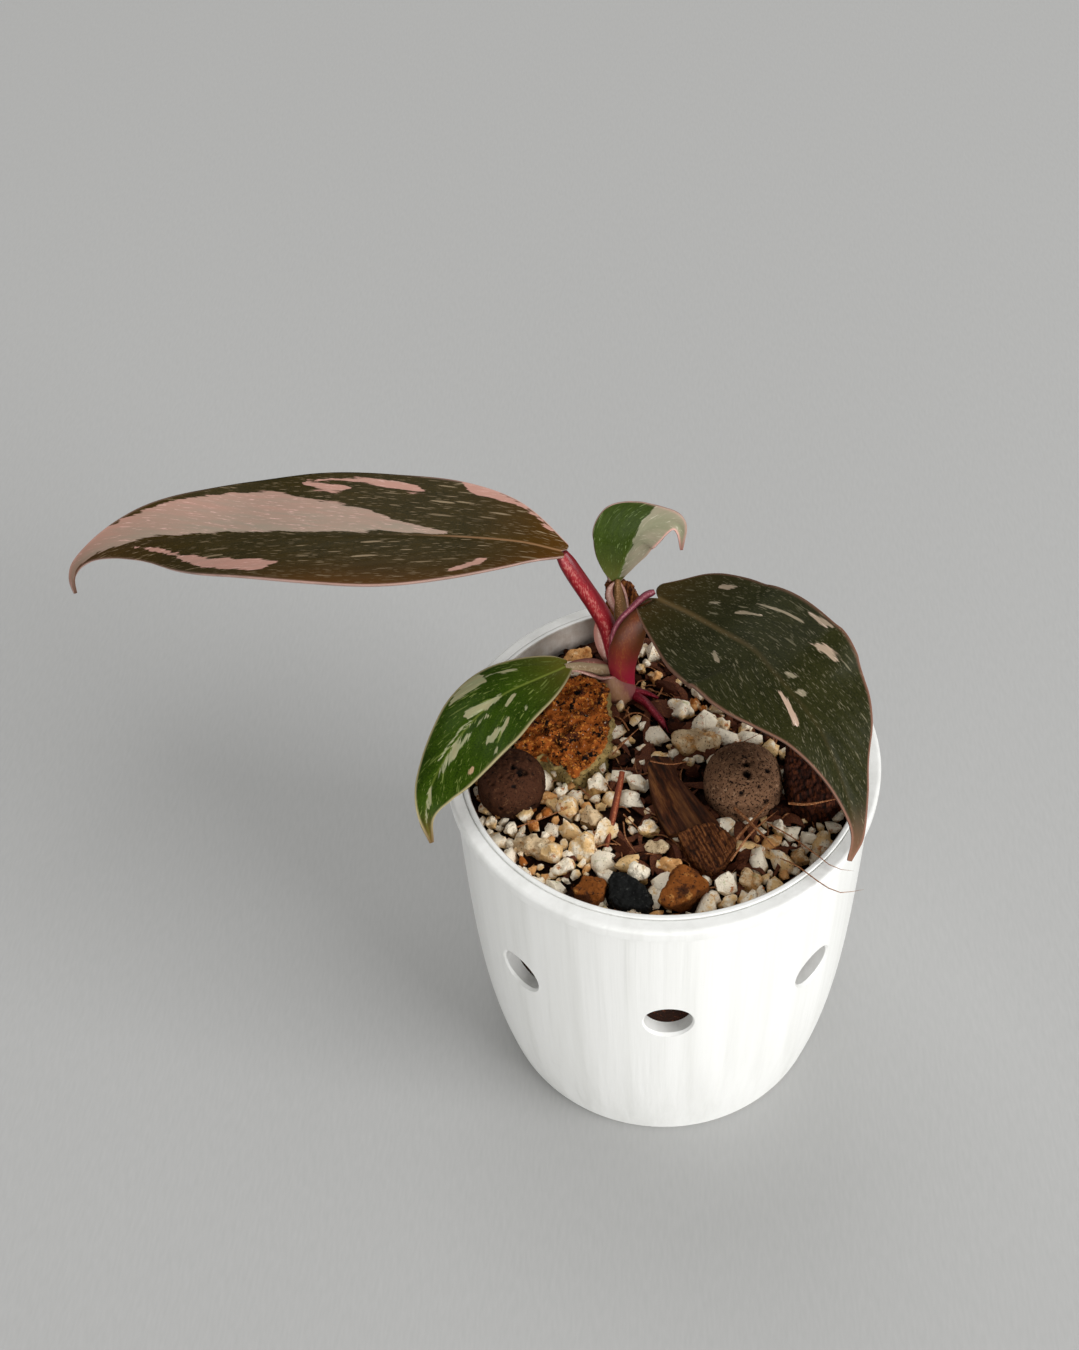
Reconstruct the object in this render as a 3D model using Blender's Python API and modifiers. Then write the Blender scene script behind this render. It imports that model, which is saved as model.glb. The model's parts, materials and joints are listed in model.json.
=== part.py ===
"""A young pink princess philodendron in its round white pot, with the chunky mix it is potted in.

Sizes are in millimetres and MM turns them into Blender's metres. The origin is the centre of the
pot's foot, +Z is up, and -Y is the side that the two big leaves and the small front leaf are seen
from. The plant rests in the pot: nothing here moves on a joint.
"""

import math
import random

import bmesh
import bpy
from mathutils import Matrix, Vector, noise

MM = 0.001
GAP = 0.3                 # clearance between neighbouring solids
MERGE = 0.00002           # weld distance, in metres
TURNS = 40                # facets round the pot and the mix

# The pot is a printed white shell with a collar round its mouth and eight air holes.
POT_HEIGHT = 88.0
RIM_RADIUS = 42.5
MOUTH_RADIUS = 38.6
BODY_RADIUS = 41.3
BODY_TAPER = 4.6          # how much narrower the foot is than the shoulder
BODY_CURVE = 4.2          # how late the side turns in towards the foot
WALL = 3.0
FLOOR = 3.0
FOOT_ROUND = 1.5
LIP_WIDTH = 1.0           # the narrow inner lip, a little above the rest of the rim
LIP_STEP = 0.3
SHOULDER_ROUND = 1.2
COLLAR_DEPTH = 3.3
HOLE_COUNT = 8
HOLE_RADIUS = 4.75
HOLE_HEIGHT = 54.0
HOLE_TURN = 2.5           # degrees from the front of the pot to the first hole
HOLE_CHAMFER = 0.7
HOLE_SIDES = 12

# The mix fills the pot to a few millimetres below the rim.
MIX_LEVEL = 83.0
MIX_EDGE_LEVEL = 81.5
MIX_ROLL = 0.9            # height of the surface's unevenness
MIX_RINGS = (36.0, 30.0, 24.0, 17.0, 10.0, 4.0)
BURIED = 0.35             # share of a stone's height that is sunk in the mix
GRAIN_COUNT = 36
GRAIN_SMALLEST = 0.9
GRAIN_LARGEST = 1.9
GRAIN_SEED = 7

# The plant.
BLADE = 0.8               # leaf thickness

# Each stone: kind, place on the surface (x, y), size (x, y, z), turn about Z, and its own seed.
STONES = {
    "lava_rock": ("angular", "lava", (-19.8, 6.6), (18.5, 14.0, 14.0), 12.0, 3),
    "clay_ball_left": ("ball", "clay", (-29.0, -6.8), (13.6, 13.6, 13.6), 0.0, 5),
    "clay_ball_right": ("ball", "clay", (15.9, -6.5), (15.4, 15.4, 15.4), 30.0, 6),
    "husk_chip": ("slab", "husk", (3.8, -7.9), (18.5, 5.2, 6.0), -58.0, 8),
    "husk_end": ("slab", "husk", (9.8, -21.2), (8.6, 8.0, 6.0), -35.0, 9),
    "bark_right": ("slab", "bark", (30.0, -6.0), (9.6, 10.4, 9.5), 10.0, 10),
    "bark_back": ("slab", "bark", (-5.2, 30.6), (4.6, 3.6, 22.0), 15.0, 11),
    "amber_rock": ("angular", "amber", (5.2, -31.0), (9.4, 5.4, 6.0), 8.0, 12),
    "charcoal": ("angular", "charcoal", (-7.5, -32.0), (8.0, 5.0, 5.0), -8.0, 13),
    "lava_small": ("angular", "lava", (-15.4, -29.6), (6.2, 4.8, 5.0), 20.0, 14),
    "pumice_01": ("pebble", "pumice", (4.1, 13.7), (5.6, 5.0, 4.6), 10.0, 21),
    "pumice_02": ("pebble", "pumice", (7.2, 4.7), (9.4, 6.4, 6.2), -12.0, 22),
    "pumice_03": ("pebble", "pumice", (12.5, 9.8), (4.2, 3.8, 4.0), 0.0, 23),
    "pumice_04": ("pebble", "pumice", (17.2, 8.6), (4.4, 3.8, 4.0), 25.0, 24),
    "pumice_05": ("pebble", "pumice", (5.2, 0.0), (3.0, 2.9, 3.2), 0.0, 25),
    "pumice_06": ("pebble", "pumice", (-9.3, 2.2), (3.0, 3.0, 3.8), 40.0, 26),
    "pumice_07": ("pebble", "pumice", (-19.4, -7.8), (3.8, 3.6, 3.6), 0.0, 27),
    "pumice_08": ("pebble", "pumice", (-20.6, -3.0), (3.4, 3.2, 3.4), 15.0, 28),
    "pumice_09": ("pebble", "pumice", (-14.1, -20.9), (6.6, 5.2, 5.6), -20.0, 29),
    "pumice_10": ("pebble", "pumice", (-18.3, -25.2), (4.6, 4.0, 4.0), 0.0, 30),
    "pumice_11": ("pebble", "pumice", (-32.4, -14.8), (3.2, 3.2, 3.4), 0.0, 31),
    "pumice_12": ("pebble", "pumice", (-28.6, -16.3), (3.6, 3.6, 3.4), 35.0, 32),
    "pumice_13": ("pebble", "pumice", (-24.2, -20.6), (7.0, 4.8, 4.4), -15.0, 33),
    "pumice_14": ("pebble", "pumice", (-13.2, -14.7), (5.0, 4.4, 5.0), 0.0, 34),
    "pumice_15": ("pebble", "pumice", (-12.6, -6.6), (5.4, 5.2, 5.4), 30.0, 35),
    "pumice_16": ("pebble", "pumice", (-2.3, -16.6), (5.0, 3.8, 4.4), 10.0, 36),
    "pumice_17": ("pebble", "pumice", (-0.6, -20.8), (5.8, 3.4, 4.0), -12.0, 37),
    "pumice_18": ("pebble", "amber", (2.2, -25.2), (5.8, 3.8, 4.2), -16.0, 38),
    "pumice_19": ("pebble", "pumice", (-3.6, -27.2), (5.2, 4.8, 6.0), 15.0, 39),
    "pumice_20": ("pebble", "pumice", (12.4, -32.4), (3.8, 3.8, 3.8), 0.0, 40),
    "pumice_21": ("pebble", "pumice", (16.4, -27.8), (4.8, 4.8, 5.4), 25.0, 41),
    "pumice_22": ("pebble", "pumice", (22.5, -15.8), (3.0, 3.8, 4.6), 0.0, 42),
    "pumice_23": ("pebble", "pumice", (26.0, -22.2), (5.0, 3.8, 3.8), -30.0, 43),
    "pumice_24": ("pebble", "pumice", (27.6, -17.4), (4.8, 2.8, 3.2), -10.0, 44),
    "pumice_25": ("pebble", "amber", (-17.5, 29.5), (7.2, 4.4, 4.4), 22.0, 45),
    "pumice_26": ("pebble", "amber", (-10.8, 30.4), (4.4, 3.8, 4.0), 0.0, 46),
    "pumice_27": ("pebble", "pumice", (-1.2, 22.8), (3.8, 3.8, 3.8), 20.0, 47),
    "pumice_28": ("pebble", "pumice", (-4.4, 25.6), (2.6, 2.6, 2.8), 0.0, 48),
}

# Stems: points along the middle line and the radius at each.
STEMS = {
    "stem": ("crown", ((-8.4, 20.6, 64.0), (-8.3, 20.4, 74.0), (-8.0, 20.0, 81.0), (-8.1, 20.2, 85.0),
                       (-8.2, 20.4, 87.8)), (1.6, 2.0, 2.8, 3.0, 2.7)),
    "petiole_1": ("petiole_red", ((-9.7, 21.9, 88.2), (-10.2, 22.0, 96.0), (-12.4, 22.6, 104.0),
                                  (-15.8, 23.8, 111.5), (-18.8, 24.8, 116.6)), (1.3, 1.4, 1.4, 1.4, 1.2)),
    "petiole_2": ("petiole_rust", ((-7.7, 18.9, 88.2), (-7.3, 18.8, 92.0), (-6.2, 19.6, 98.0),
                                   (-3.9, 21.2, 102.0), (-1.8, 23.4, 104.5)), (1.8, 2.4, 2.3, 1.6, 0.9)),
    "petiole_3": ("petiole_brown", ((-6.9, 22.8, 88.2), (-7.6, 25.0, 93.0), (-8.6, 28.6, 98.0),
                                    (-9.0, 31.6, 102.0)), (0.9, 1.3, 1.2, 0.8)),
    "petiole_4": ("petiole_pink", ((-11.9, 18.9, 86.7), (-13.4, 17.5, 90.0), (-16.0, 15.8, 93.4),
                                   (-18.1, 14.9, 94.9)), (1.0, 1.3, 1.1, 0.8)),
    "aerial_root": ("root_red", ((-4.8, 18.2, 83.2), (-2.8, 14.8, 83.6), (0.0, 11.4, 82.8),
                                 (2.4, 8.8, 79.5)), (0.9, 0.8, 0.8, 0.7)),
    "twig": ("twig", ((-7.4, -6.2, 88.0), (-8.6, -13.0, 86.2), (-10.2, -20.4, 82.8)), (0.5, 0.6, 0.5)),
}

# Leaves. spine: the midrib from base to tip. face: which way the upper side looks at the base.
# Each station: share of the length, half-width to the left and right of the midrib as seen from
# the base, turn of the blade about the midrib in degrees, and how far each half lifts at its edge.
# lobe: how far the base corners reach back past the stalk. wave: height and count of edge waves.
LEAVES = {
    "leaf_1": {
        "material": "leaf_olive",
        "spine": ((-19.6, 25.2, 117.2), (-27.5, 25.5, 119.5), (-41.5, 25.5, 121.0), (-56.0, 25.5, 121.5),
                  (-71.0, 26.0, 121.0), (-86.0, 27.5, 119.5), (-98.0, 28.5, 118.0), (-106.0, 28.5, 116.5),
                  (-113.0, 28.0, 114.5), (-117.8, 27.0, 112.0), (-119.5, 25.5, 109.5),
                  (-119.2, 24.0, 106.5)),
        "face": (0.0, -0.1, 1.0),
        "stations": ((0.00, 1.4, 2.0, 0, 5, 5), (0.03, 3.3, 4.6, 0, 5, 5), (0.10, 7.6, 10.2, 0, 5, 5),
                     (0.20, 11.6, 13.8, 0, 5, 5), (0.32, 13.9, 14.8, 0, 5, 5), (0.45, 13.9, 14.8, 0, 5, 5),
                     (0.60, 12.4, 13.4, 0, 5, 5), (0.70, 9.6, 10.8, -8, 5, 5), (0.80, 5.4, 7.4, -22, 5, 5),
                     (0.90, 2.2, 3.2, -35, 5, 5), (0.96, 1.0, 1.2, -35, 0, 0), (1.00, 0.4, 0.4, -35, 0, 0)),
        "lobe": (0.8, 1.4),
        "wave": (0.5, 2.0),
        "cuts": (26, 6),
    },
    "leaf_2": {
        "material": "leaf_dark",
        "spine": ((-0.7, 23.2, 106.3), (4.9, 15.8, 110.0), (10.7, 8.2, 113.0), (16.6, 2.4, 114.0),
                  (20.1, -3.1, 114.0), (23.9, -8.0, 112.5), (27.7, -12.4, 110.0), (30.7, -16.7, 106.0),
                  (33.6, -21.6, 100.0), (35.0, -25.6, 95.0), (34.0, -28.5, 91.0)),
        "face": (0.1, -0.1, 1.0),
        "stations": ((0.00, 3.6, 3.6, 15, 5, 5), (0.03, 5.6, 5.2, 15, 5, 5), (0.10, 9.8, 8.0, 15, 5, 5),
                     (0.20, 12.4, 10.9, 14, 5, 5), (0.30, 13.4, 13.6, 10, 5, 5), (0.40, 14.4, 15.4, 6, 5, 5),
                     (0.50, 15.6, 15.0, 2, 5, 5), (0.60, 14.8, 11.4, -6, 5, 0), (0.70, 11.6, 8.4, -12, 5, -5),
                     (0.80, 7.0, 4.6, -16, 0, -10), (0.90, 2.9, 1.7, -15, 0, -5), (0.96, 1.1, 0.8, -15, 0, 0),
                     (1.00, 0.4, 0.4, -15, 0, 0)),
        "lobe": (3.0, 4.0),
        "wave": (0.6, 2.5),
        "cuts": (24, 8),
    },
    "leaf_3": {
        "material": "leaf_green",
        "spine": ((-8.9, 32.3, 102.9), (-7.9, 32.9, 105.5), (-6.6, 33.9, 109.2), (-5.2, 34.6, 112.4),
                  (-2.8, 35.2, 114.2), (0.2, 35.5, 115.0), (2.7, 35.5, 114.8), (3.9, 35.0, 113.0),
                  (3.9, 34.2, 109.0)),
        "face": (0.1, -0.8, 0.5),
        "stations": ((0.00, 1.6, 0.9, 0, 10, 10), (0.05, 4.2, 1.6, 0, 10, 10), (0.15, 6.4, 2.6, 0, 10, 10),
                     (0.30, 8.4, 4.0, 0, 10, 10), (0.45, 8.8, 5.2, 0, 10, 10), (0.60, 6.4, 5.2, 0, 10, 10),
                     (0.72, 3.0, 3.6, 0, 10, 10), (0.84, 1.0, 1.6, 0, 5, 5), (1.00, 0.4, 0.4, 0, 0, 0)),
        "lobe": (1.0, 0.4),
        "wave": (0.0, 1.0),
        "cuts": (16, 6),
    },
    "leaf_4": {
        "material": "leaf_bright",
        "spine": ((-19.1, 14.1, 96.1), (-23.5, 8.6, 99.0), (-29.9, 2.5, 101.0), (-34.2, -3.1, 101.5),
                  (-37.6, -8.4, 101.0), (-40.6, -13.3, 99.0), (-42.9, -17.4, 96.0), (-43.8, -20.5, 92.0),
                  (-42.9, -23.0, 87.0)),
        "face": (-0.1, -0.1, 1.0),
        "stations": ((0.00, 1.2, 1.6, -20, 5, 0), (0.03, 2.2, 3.2, -20, 5, 0), (0.10, 4.0, 5.0, -20, 5, -5),
                     (0.20, 6.2, 6.4, -20, 5, -10), (0.32, 8.0, 7.4, -20, 5, -15), (0.45, 8.9, 7.6, -20, 5, -20),
                     (0.58, 8.4, 6.6, -20, 5, -20), (0.70, 7.0, 5.2, -20, 5, -20), (0.80, 4.9, 3.6, -20, 5, -15),
                     (0.90, 1.9, 1.7, -20, 5, -5), (1.00, 0.4, 0.4, -20, 0, 0)),
        "lobe": (1.2, 1.6),
        "wave": (0.4, 2.0),
        "cuts": (20, 6),
    },
}

# Colours, as sRGB hex, with roughness.
FINISHES = {
    "pot_white": ("#F2F2F0", 0.35),
    "mix_dark": ("#4A3325", 0.95),
    "lava": ("#8A4A24", 0.9),
    "clay": ("#5A4036", 0.9),
    "husk": ("#6B4024", 0.85),
    "bark": ("#3E261A", 0.9),
    "amber": ("#B4702E", 0.7),
    "charcoal": ("#1C1B1B", 0.8),
    "pumice": ("#D9C3A0", 0.95),
    "crown": ("#B98A78", 0.5),
    "petiole_red": ("#A3262F", 0.35),
    "petiole_rust": ("#8C3A2A", 0.4),
    "petiole_brown": ("#7A5B3C", 0.5),
    "petiole_pink": ("#B9837A", 0.45),
    "root_red": ("#7C1420", 0.4),
    "twig": ("#6E2E1C", 0.8),
    "leaf_olive": ("#3A3A22", 0.4),
    "leaf_dark": ("#343A2C", 0.4),
    "leaf_green": ("#3F6B2C", 0.45),
    "leaf_bright": ("#3B5F22", 0.4),
}


def linear(hex_colour):
    """Turn an sRGB hex colour into the linear values that Blender's sockets take."""
    channels = [int(hex_colour[i:i + 2], 16) / 255 for i in (1, 3, 5)]
    return [c / 12.92 if c <= 0.04045 else ((c + 0.055) / 1.055) ** 2.4 for c in channels] + [1.0]


def make_material(name):
    """Make the Principled material of one finish."""
    hex_colour, roughness = FINISHES[name]
    material = bpy.data.materials.new(name)
    material.use_nodes = True
    shader = material.node_tree.nodes["Principled BSDF"]
    shader.inputs["Base Color"].default_value = linear(hex_colour)
    shader.inputs["Roughness"].default_value = roughness
    shader.inputs["Metallic"].default_value = 0.0
    material.diffuse_color = linear(hex_colour)
    return material


def new_collection(name):
    """Make a collection in the scene."""
    collection = bpy.data.collections.new(name)
    bpy.context.scene.collection.children.link(collection)
    return collection


def add_object(name, mesh, collection, material=None):
    """Put a mesh in the scene as one named object."""
    item = bpy.data.objects.new(name, mesh)
    collection.objects.link(item)
    if material is not None:
        mesh.materials.append(material)
    return item


def add_bmesh(name, shape, collection, material=None):
    """Put a bmesh in the scene as one named object, shaded smooth with sharp edges kept."""
    mesh = bpy.data.meshes.new(name)
    shape.to_mesh(mesh)
    shape.free()
    mesh.shade_smooth()
    mesh.set_sharp_from_angle(angle=math.radians(40))
    return add_object(name, mesh, collection, material)


def evaluated_bmesh(item):
    """Return the evaluated mesh of an object as a bmesh, and remove the object."""
    bpy.context.view_layer.update()
    graph = bpy.context.evaluated_depsgraph_get()
    mesh = bpy.data.meshes.new_from_object(item.evaluated_get(graph), depsgraph=graph)
    mesh.transform(item.matrix_world)
    shape = bmesh.new()
    shape.from_mesh(mesh)
    bpy.data.objects.remove(item)
    bpy.data.meshes.remove(mesh)
    bmesh.ops.remove_doubles(shape, verts=shape.verts, dist=MERGE)
    return shape


def turned(name, profile, collection):
    """Turn a profile of (radius, height) points about Z and return it as a bmesh."""
    mesh = bpy.data.meshes.new(name)
    points = [(r * MM, 0.0, z * MM) for r, z in profile]
    mesh.from_pydata(points, [(i, i + 1) for i in range(len(points) - 1)], [])
    item = add_object(name, mesh, collection)
    screw = item.modifiers.new("turn", "SCREW")
    screw.axis = "Z"
    screw.steps = TURNS
    screw.render_steps = TURNS
    screw.use_merge_vertices = True
    screw.merge_threshold = MERGE
    return evaluated_bmesh(item)


def smooth_curve(points, count):
    """Read count evenly spaced points from a smooth curve through the given ones."""
    knots = [Vector(p) for p in points]
    knots = [2 * knots[0] - knots[1]] + knots + [2 * knots[-1] - knots[-2]]
    dense = []
    for a, b, c, d in zip(knots, knots[1:], knots[2:], knots[3:]):
        for step in range(12):
            t = step / 12
            dense.append(0.5 * (2 * b + (c - a) * t + (2 * a - 5 * b + 4 * c - d) * t ** 2
                                + (3 * b - a - 3 * c + d) * t ** 3))
    dense.append(knots[-2])
    lengths = [0.0]
    for before, after in zip(dense, dense[1:]):
        lengths.append(lengths[-1] + (after - before).length)
    result = []
    index = 0
    for step in range(count):
        target = lengths[-1] * step / (count - 1)
        while index < len(dense) - 2 and lengths[index + 1] < target:
            index += 1
        span = lengths[index + 1] - lengths[index]
        result.append(dense[index].lerp(dense[index + 1], (target - lengths[index]) / span))
    return result


def station_value(stations, column, along):
    """Read one column of a leaf's stations at a share of its length, eased between stations."""
    for low, high in zip(stations, stations[1:]):
        if along <= high[0]:
            t = (along - low[0]) / (high[0] - low[0])
            return low[column] + (high[column] - low[column]) * t
    return stations[-1][column]


def body_radius(height):
    """Outer radius of the pot's side at a height."""
    depth = (POT_HEIGHT - height) / POT_HEIGHT
    return BODY_RADIUS - BODY_TAPER * depth ** BODY_CURVE


def inner_profile(heights, inset=0.0):
    """Points down or up the inside of the pot, moved inwards by inset."""
    return [(body_radius(z) - WALL - inset, z) for z in heights]


def make_pot(parts, cutters, material):
    """The pot: one turned shell with a collar, and eight air holes bored through its side."""
    top = POT_HEIGHT
    collar = top - COLLAR_DEPTH
    profile = [(0.0, FLOOR)] + inner_profile((FLOOR, 14.0, 30.0, 54.0, collar))
    profile += [(MOUTH_RADIUS, top - 1.0), (MOUTH_RADIUS, top), (MOUTH_RADIUS + LIP_WIDTH, top)]
    profile += [(MOUTH_RADIUS + LIP_WIDTH + 0.1, top - LIP_STEP)]
    for step in range(4):
        angle = math.radians(90 - 30 * step)
        profile.append((RIM_RADIUS - SHOULDER_ROUND + SHOULDER_ROUND * math.cos(angle),
                        top - LIP_STEP - SHOULDER_ROUND + SHOULDER_ROUND * math.sin(angle)))
    profile += [(RIM_RADIUS, collar + 0.3), (RIM_RADIUS - 0.3, collar), (body_radius(collar), collar - 0.1)]
    profile += [(body_radius(z), z) for z in (62.0, 44.0, 30.0, 19.0, 10.0)]
    profile += [(body_radius(FOOT_ROUND), FOOT_ROUND), (body_radius(0) - 0.4, 0.4),
                (body_radius(0) - FOOT_ROUND, 0.0), (0.0, 0.0)]
    pot = add_bmesh("pot", turned("pot_profile", profile, cutters), parts, material)
    outer = body_radius(HOLE_HEIGHT)
    for number in range(HOLE_COUNT):
        shape = bmesh.new()
        inside = outer - WALL - 3.0
        length = outer - HOLE_CHAMFER - inside
        bmesh.ops.create_cone(shape, cap_ends=True, segments=HOLE_SIDES, radius1=HOLE_RADIUS * MM,
                              radius2=HOLE_RADIUS * MM, depth=length * MM)
        cap = max(shape.faces, key=lambda face: face.calc_center_median().z)
        for grow, reach in ((1.30, 2 * HOLE_CHAMFER), (1.0, 3.0)):
            moved = bmesh.ops.extrude_face_region(shape, geom=[cap])["geom"]
            corners = [part for part in moved if isinstance(part, bmesh.types.BMVert)]
            bmesh.ops.translate(shape, verts=corners, vec=(0, 0, reach * MM))
            bmesh.ops.scale(shape, verts=corners, vec=(grow, grow, 1))
            bmesh.ops.delete(shape, geom=[cap], context="FACES_ONLY")
            cap = max(shape.faces, key=lambda face: face.calc_center_median().z)
        cutter = add_bmesh(f"air_hole_{number + 1}", shape, cutters)
        turn = math.radians(HOLE_TURN + number * 360 / HOLE_COUNT)
        outward = Vector((math.sin(turn), -math.cos(turn), 0))
        cutter.rotation_euler = outward.to_track_quat("Z", "Y").to_euler()
        cutter.location = (outward * (inside + length / 2) + Vector((0, 0, HOLE_HEIGHT))) * MM
    boolean = pot.modifiers.new("air_holes", "BOOLEAN")
    boolean.operation = "DIFFERENCE"
    boolean.operand_type = "COLLECTION"
    boolean.collection = cutters
    return pot


def surface_height(x, y):
    """Height of the mix's surface: level in the middle, a little lower and uneven at the wall."""
    reach = min(math.hypot(x, y) / MOUTH_RADIUS, 1.0)
    level = MIX_LEVEL + (MIX_EDGE_LEVEL - MIX_LEVEL) * reach ** 3
    return level + MIX_ROLL * noise.noise(Vector((x * 0.11, y * 0.11, 2.0)))


def make_mix(parts, work, grains, pockets, material):
    """The potting mix: one body with small grains grown on it and a pocket under each stone."""
    walls = inner_profile((FLOOR, 14.0, 30.0, 54.0, 80.0), GAP)
    walls[0] = (walls[0][0], FLOOR + GAP)
    profile = [(0.0, MIX_LEVEL)] + [(r, MIX_LEVEL) for r in reversed(MIX_RINGS)]
    profile += list(reversed(walls)) + [(0.0, FLOOR + GAP)]
    shape = turned("mix_profile", profile, work)
    for vertex in shape.verts:
        if vertex.co.z > (MIX_LEVEL - 0.5) * MM:
            vertex.co.z = surface_height(vertex.co.x / MM, vertex.co.y / MM) * MM
    core = add_bmesh("mix_core", shape, work)
    joined = core.modifiers.new("grains", "BOOLEAN")
    joined.operation = "UNION"
    joined.operand_type = "COLLECTION"
    joined.collection = grains
    cut = core.modifiers.new("pockets", "BOOLEAN")
    cut.operation = "DIFFERENCE"
    cut.operand_type = "COLLECTION"
    cut.collection = pockets
    cut.solver = "MANIFOLD"   # EXACT leaves a stone inside the mix here
    shape = evaluated_bmesh(core)
    keep_largest(shape)
    return add_bmesh("potting_mix", shape, parts, material)


def keep_largest(shape):
    """Drop loose scraps, keeping the body with the most faces."""
    left = set(shape.faces)
    bodies = []
    while left:
        body = set()
        queue = [left.pop()]
        while queue:
            face = queue.pop()
            body.add(face)
            for edge in face.edges:
                for other in edge.link_faces:
                    if other in left:
                        left.remove(other)
                        queue.append(other)
        bodies.append(body)
    bodies.sort(key=len)
    for body in bodies[:-1]:
        bmesh.ops.delete(shape, geom=list(body), context="FACES")


def place_grains(grains):
    """Small pumice grains, scattered by a seeded draw and sunk well into the surface."""
    draw = random.Random(GRAIN_SEED)
    for number in range(GRAIN_COUNT):
        angle = draw.uniform(0, 2 * math.pi)
        reach = 34.5 * math.sqrt(draw.random())
        radius = draw.uniform(GRAIN_SMALLEST, GRAIN_LARGEST)
        x, y = reach * math.cos(angle), reach * math.sin(angle)
        shape = bmesh.new()
        bmesh.ops.create_icosphere(shape, subdivisions=1, radius=radius * MM)
        grain = add_bmesh(f"grain_{number + 1}", shape, grains)
        grain.rotation_euler = (draw.uniform(0, 3), draw.uniform(0, 3), 0)
        grain.location = Vector((x, y, surface_height(x, y) + 0.2 * radius)) * MM


def stone_shape(kind, size, seed, grow):
    """One stone about its own centre: a pebble, ball, angular lump or fibrous slab."""
    draw = random.Random(seed)
    half = Vector(size) / 2
    shape = bmesh.new()
    if kind == "ball":
        bmesh.ops.create_uvsphere(shape, u_segments=12, v_segments=8, radius=1.0)
        rough = 0.02
    elif kind == "pebble":
        bmesh.ops.create_icosphere(shape, subdivisions=2 if min(size) > 4.3 else 1, radius=1.0)
        rough = 0.1
    else:
        sides = 26 if kind == "angular" else 20
        for _ in range(sides):
            point = Vector([draw.gauss(0, 1) for _ in range(3)]).normalized()
            if kind == "slab":
                point = Vector([max(-0.72, min(0.72, 1.6 * c)) for c in point]) / 0.86
            shape.verts.new(point)
        hull = bmesh.ops.convex_hull(shape, input=shape.verts)
        inside = [part for part in hull["geom_interior"] if isinstance(part, bmesh.types.BMVert)]
        bmesh.ops.delete(shape, geom=inside, context="VERTS")
        rough = 0.0
    for vertex in shape.verts:
        swell = 1 - rough + rough * noise.noise(vertex.co * 1.6 + Vector((seed, 0, 0)))
        vertex.co = Vector([c * swell * (h + grow) * MM for c, h in zip(vertex.co, half)])
    bmesh.ops.recalc_face_normals(shape, faces=shape.faces)
    return shape


def make_stones(parts, pockets, materials):
    """Every loose stone, ball and chip, each set in a pocket of the mix a gap wider than itself."""
    for name, (kind, finish, (x, y), size, turn, seed) in STONES.items():
        middle = Vector((x, y, surface_height(x, y) + (0.5 - BURIED) * size[2])) * MM
        for grow, label, target in ((0.0, name, parts), (GAP, f"{name}_pocket", pockets)):
            shape = stone_shape(kind, size, seed, grow)
            item = add_bmesh(label, shape, target, materials[finish] if target is parts else None)
            item.location = middle
            item.rotation_euler = (0, 0, math.radians(turn))


def make_tube(name, points, radii, work, target, material, grow=0.0):
    """A stem as a bevelled curve of changing radius, made a mesh with its caps welded."""
    count = 3 * (len(points) - 1) + 1
    curve = bpy.data.curves.new(name, "CURVE")
    curve.dimensions = "3D"
    curve.bevel_depth = MM
    curve.bevel_resolution = 2
    curve.use_fill_caps = True
    spline = curve.splines.new("POLY")
    spline.points.add(count - 1)
    for number, point in enumerate(smooth_curve(points, count)):
        share = number / (count - 1) * (len(radii) - 1)
        low = min(int(share), len(radii) - 2)
        radius = radii[low] + (radii[low + 1] - radii[low]) * (share - low)
        spline.points[number].co = (*(point * MM), 1.0)
        spline.points[number].radius = radius + grow
    item = bpy.data.objects.new(f"{name}_curve", curve)
    work.objects.link(item)
    shape = evaluated_bmesh(item)
    bmesh.ops.recalc_face_normals(shape, faces=shape.faces)
    return add_bmesh(name, shape, target, material)


def make_stems(parts, work, pockets, materials):
    """The stem, leaf stalks, root and twig, standing in holes of the mix where they reach it."""
    for name, (finish, points, radii) in STEMS.items():
        make_tube(name, points, radii, work, parts, materials[finish])
        if name in ("stem", "aerial_root", "twig"):
            make_tube(f"{name}_hole", points, radii, work, pockets, None, GAP)


def make_leaf(name, leaf, parts, material):
    """One blade: a grid laid along the midrib, its halves lifted or drooped, then thickened."""
    along_cuts, across_cuts = leaf["cuts"]
    spine = smooth_curve(leaf["spine"], along_cuts + 1)
    face = Vector(leaf["face"]).normalized()
    shape = bmesh.new()
    bmesh.ops.create_grid(shape, x_segments=along_cuts, y_segments=across_cuts, size=1.0)
    for vertex in shape.verts:
        step = round((vertex.co.x + 1) / 2 * along_cuts)
        across = vertex.co.y
        along = step / along_cuts
        tangent = (spine[min(step + 1, along_cuts)] - spine[max(step - 1, 0)]).normalized()
        left = face.cross(tangent).normalized()
        turn = station_value(leaf["stations"], 3, along)
        left.rotate(Matrix.Rotation(math.radians(turn), 3, tangent))
        up = tangent.cross(left)
        side = 1 if across >= 0 else 2
        half = station_value(leaf["stations"], side, along)
        lift = math.radians(station_value(leaf["stations"], side + 3, along)) * abs(across)
        sideways = left if across >= 0 else -left
        reach = half * abs(across)
        lobe = leaf["lobe"][side - 1] * across ** 2 * max(0.0, 1 - along / 0.25) ** 2
        height, count = leaf["wave"]
        wave = height * across ** 2 * math.sin(2 * math.pi * count * along + side) * math.sin(math.pi * along)
        vertex.co = (spine[step] + sideways * reach * math.cos(lift) + up * (reach * math.sin(lift) + wave)
                     - tangent * lobe) * MM
    bmesh.ops.recalc_face_normals(shape, faces=shape.faces)
    item = add_bmesh(name, shape, parts, material)
    split = item.modifiers.new("split", "TRIANGULATE")
    split.quad_method = "FIXED"
    thick = item.modifiers.new("thickness", "SOLIDIFY")
    thick.thickness = BLADE * MM
    thick.offset = 0.0
    return item


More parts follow.
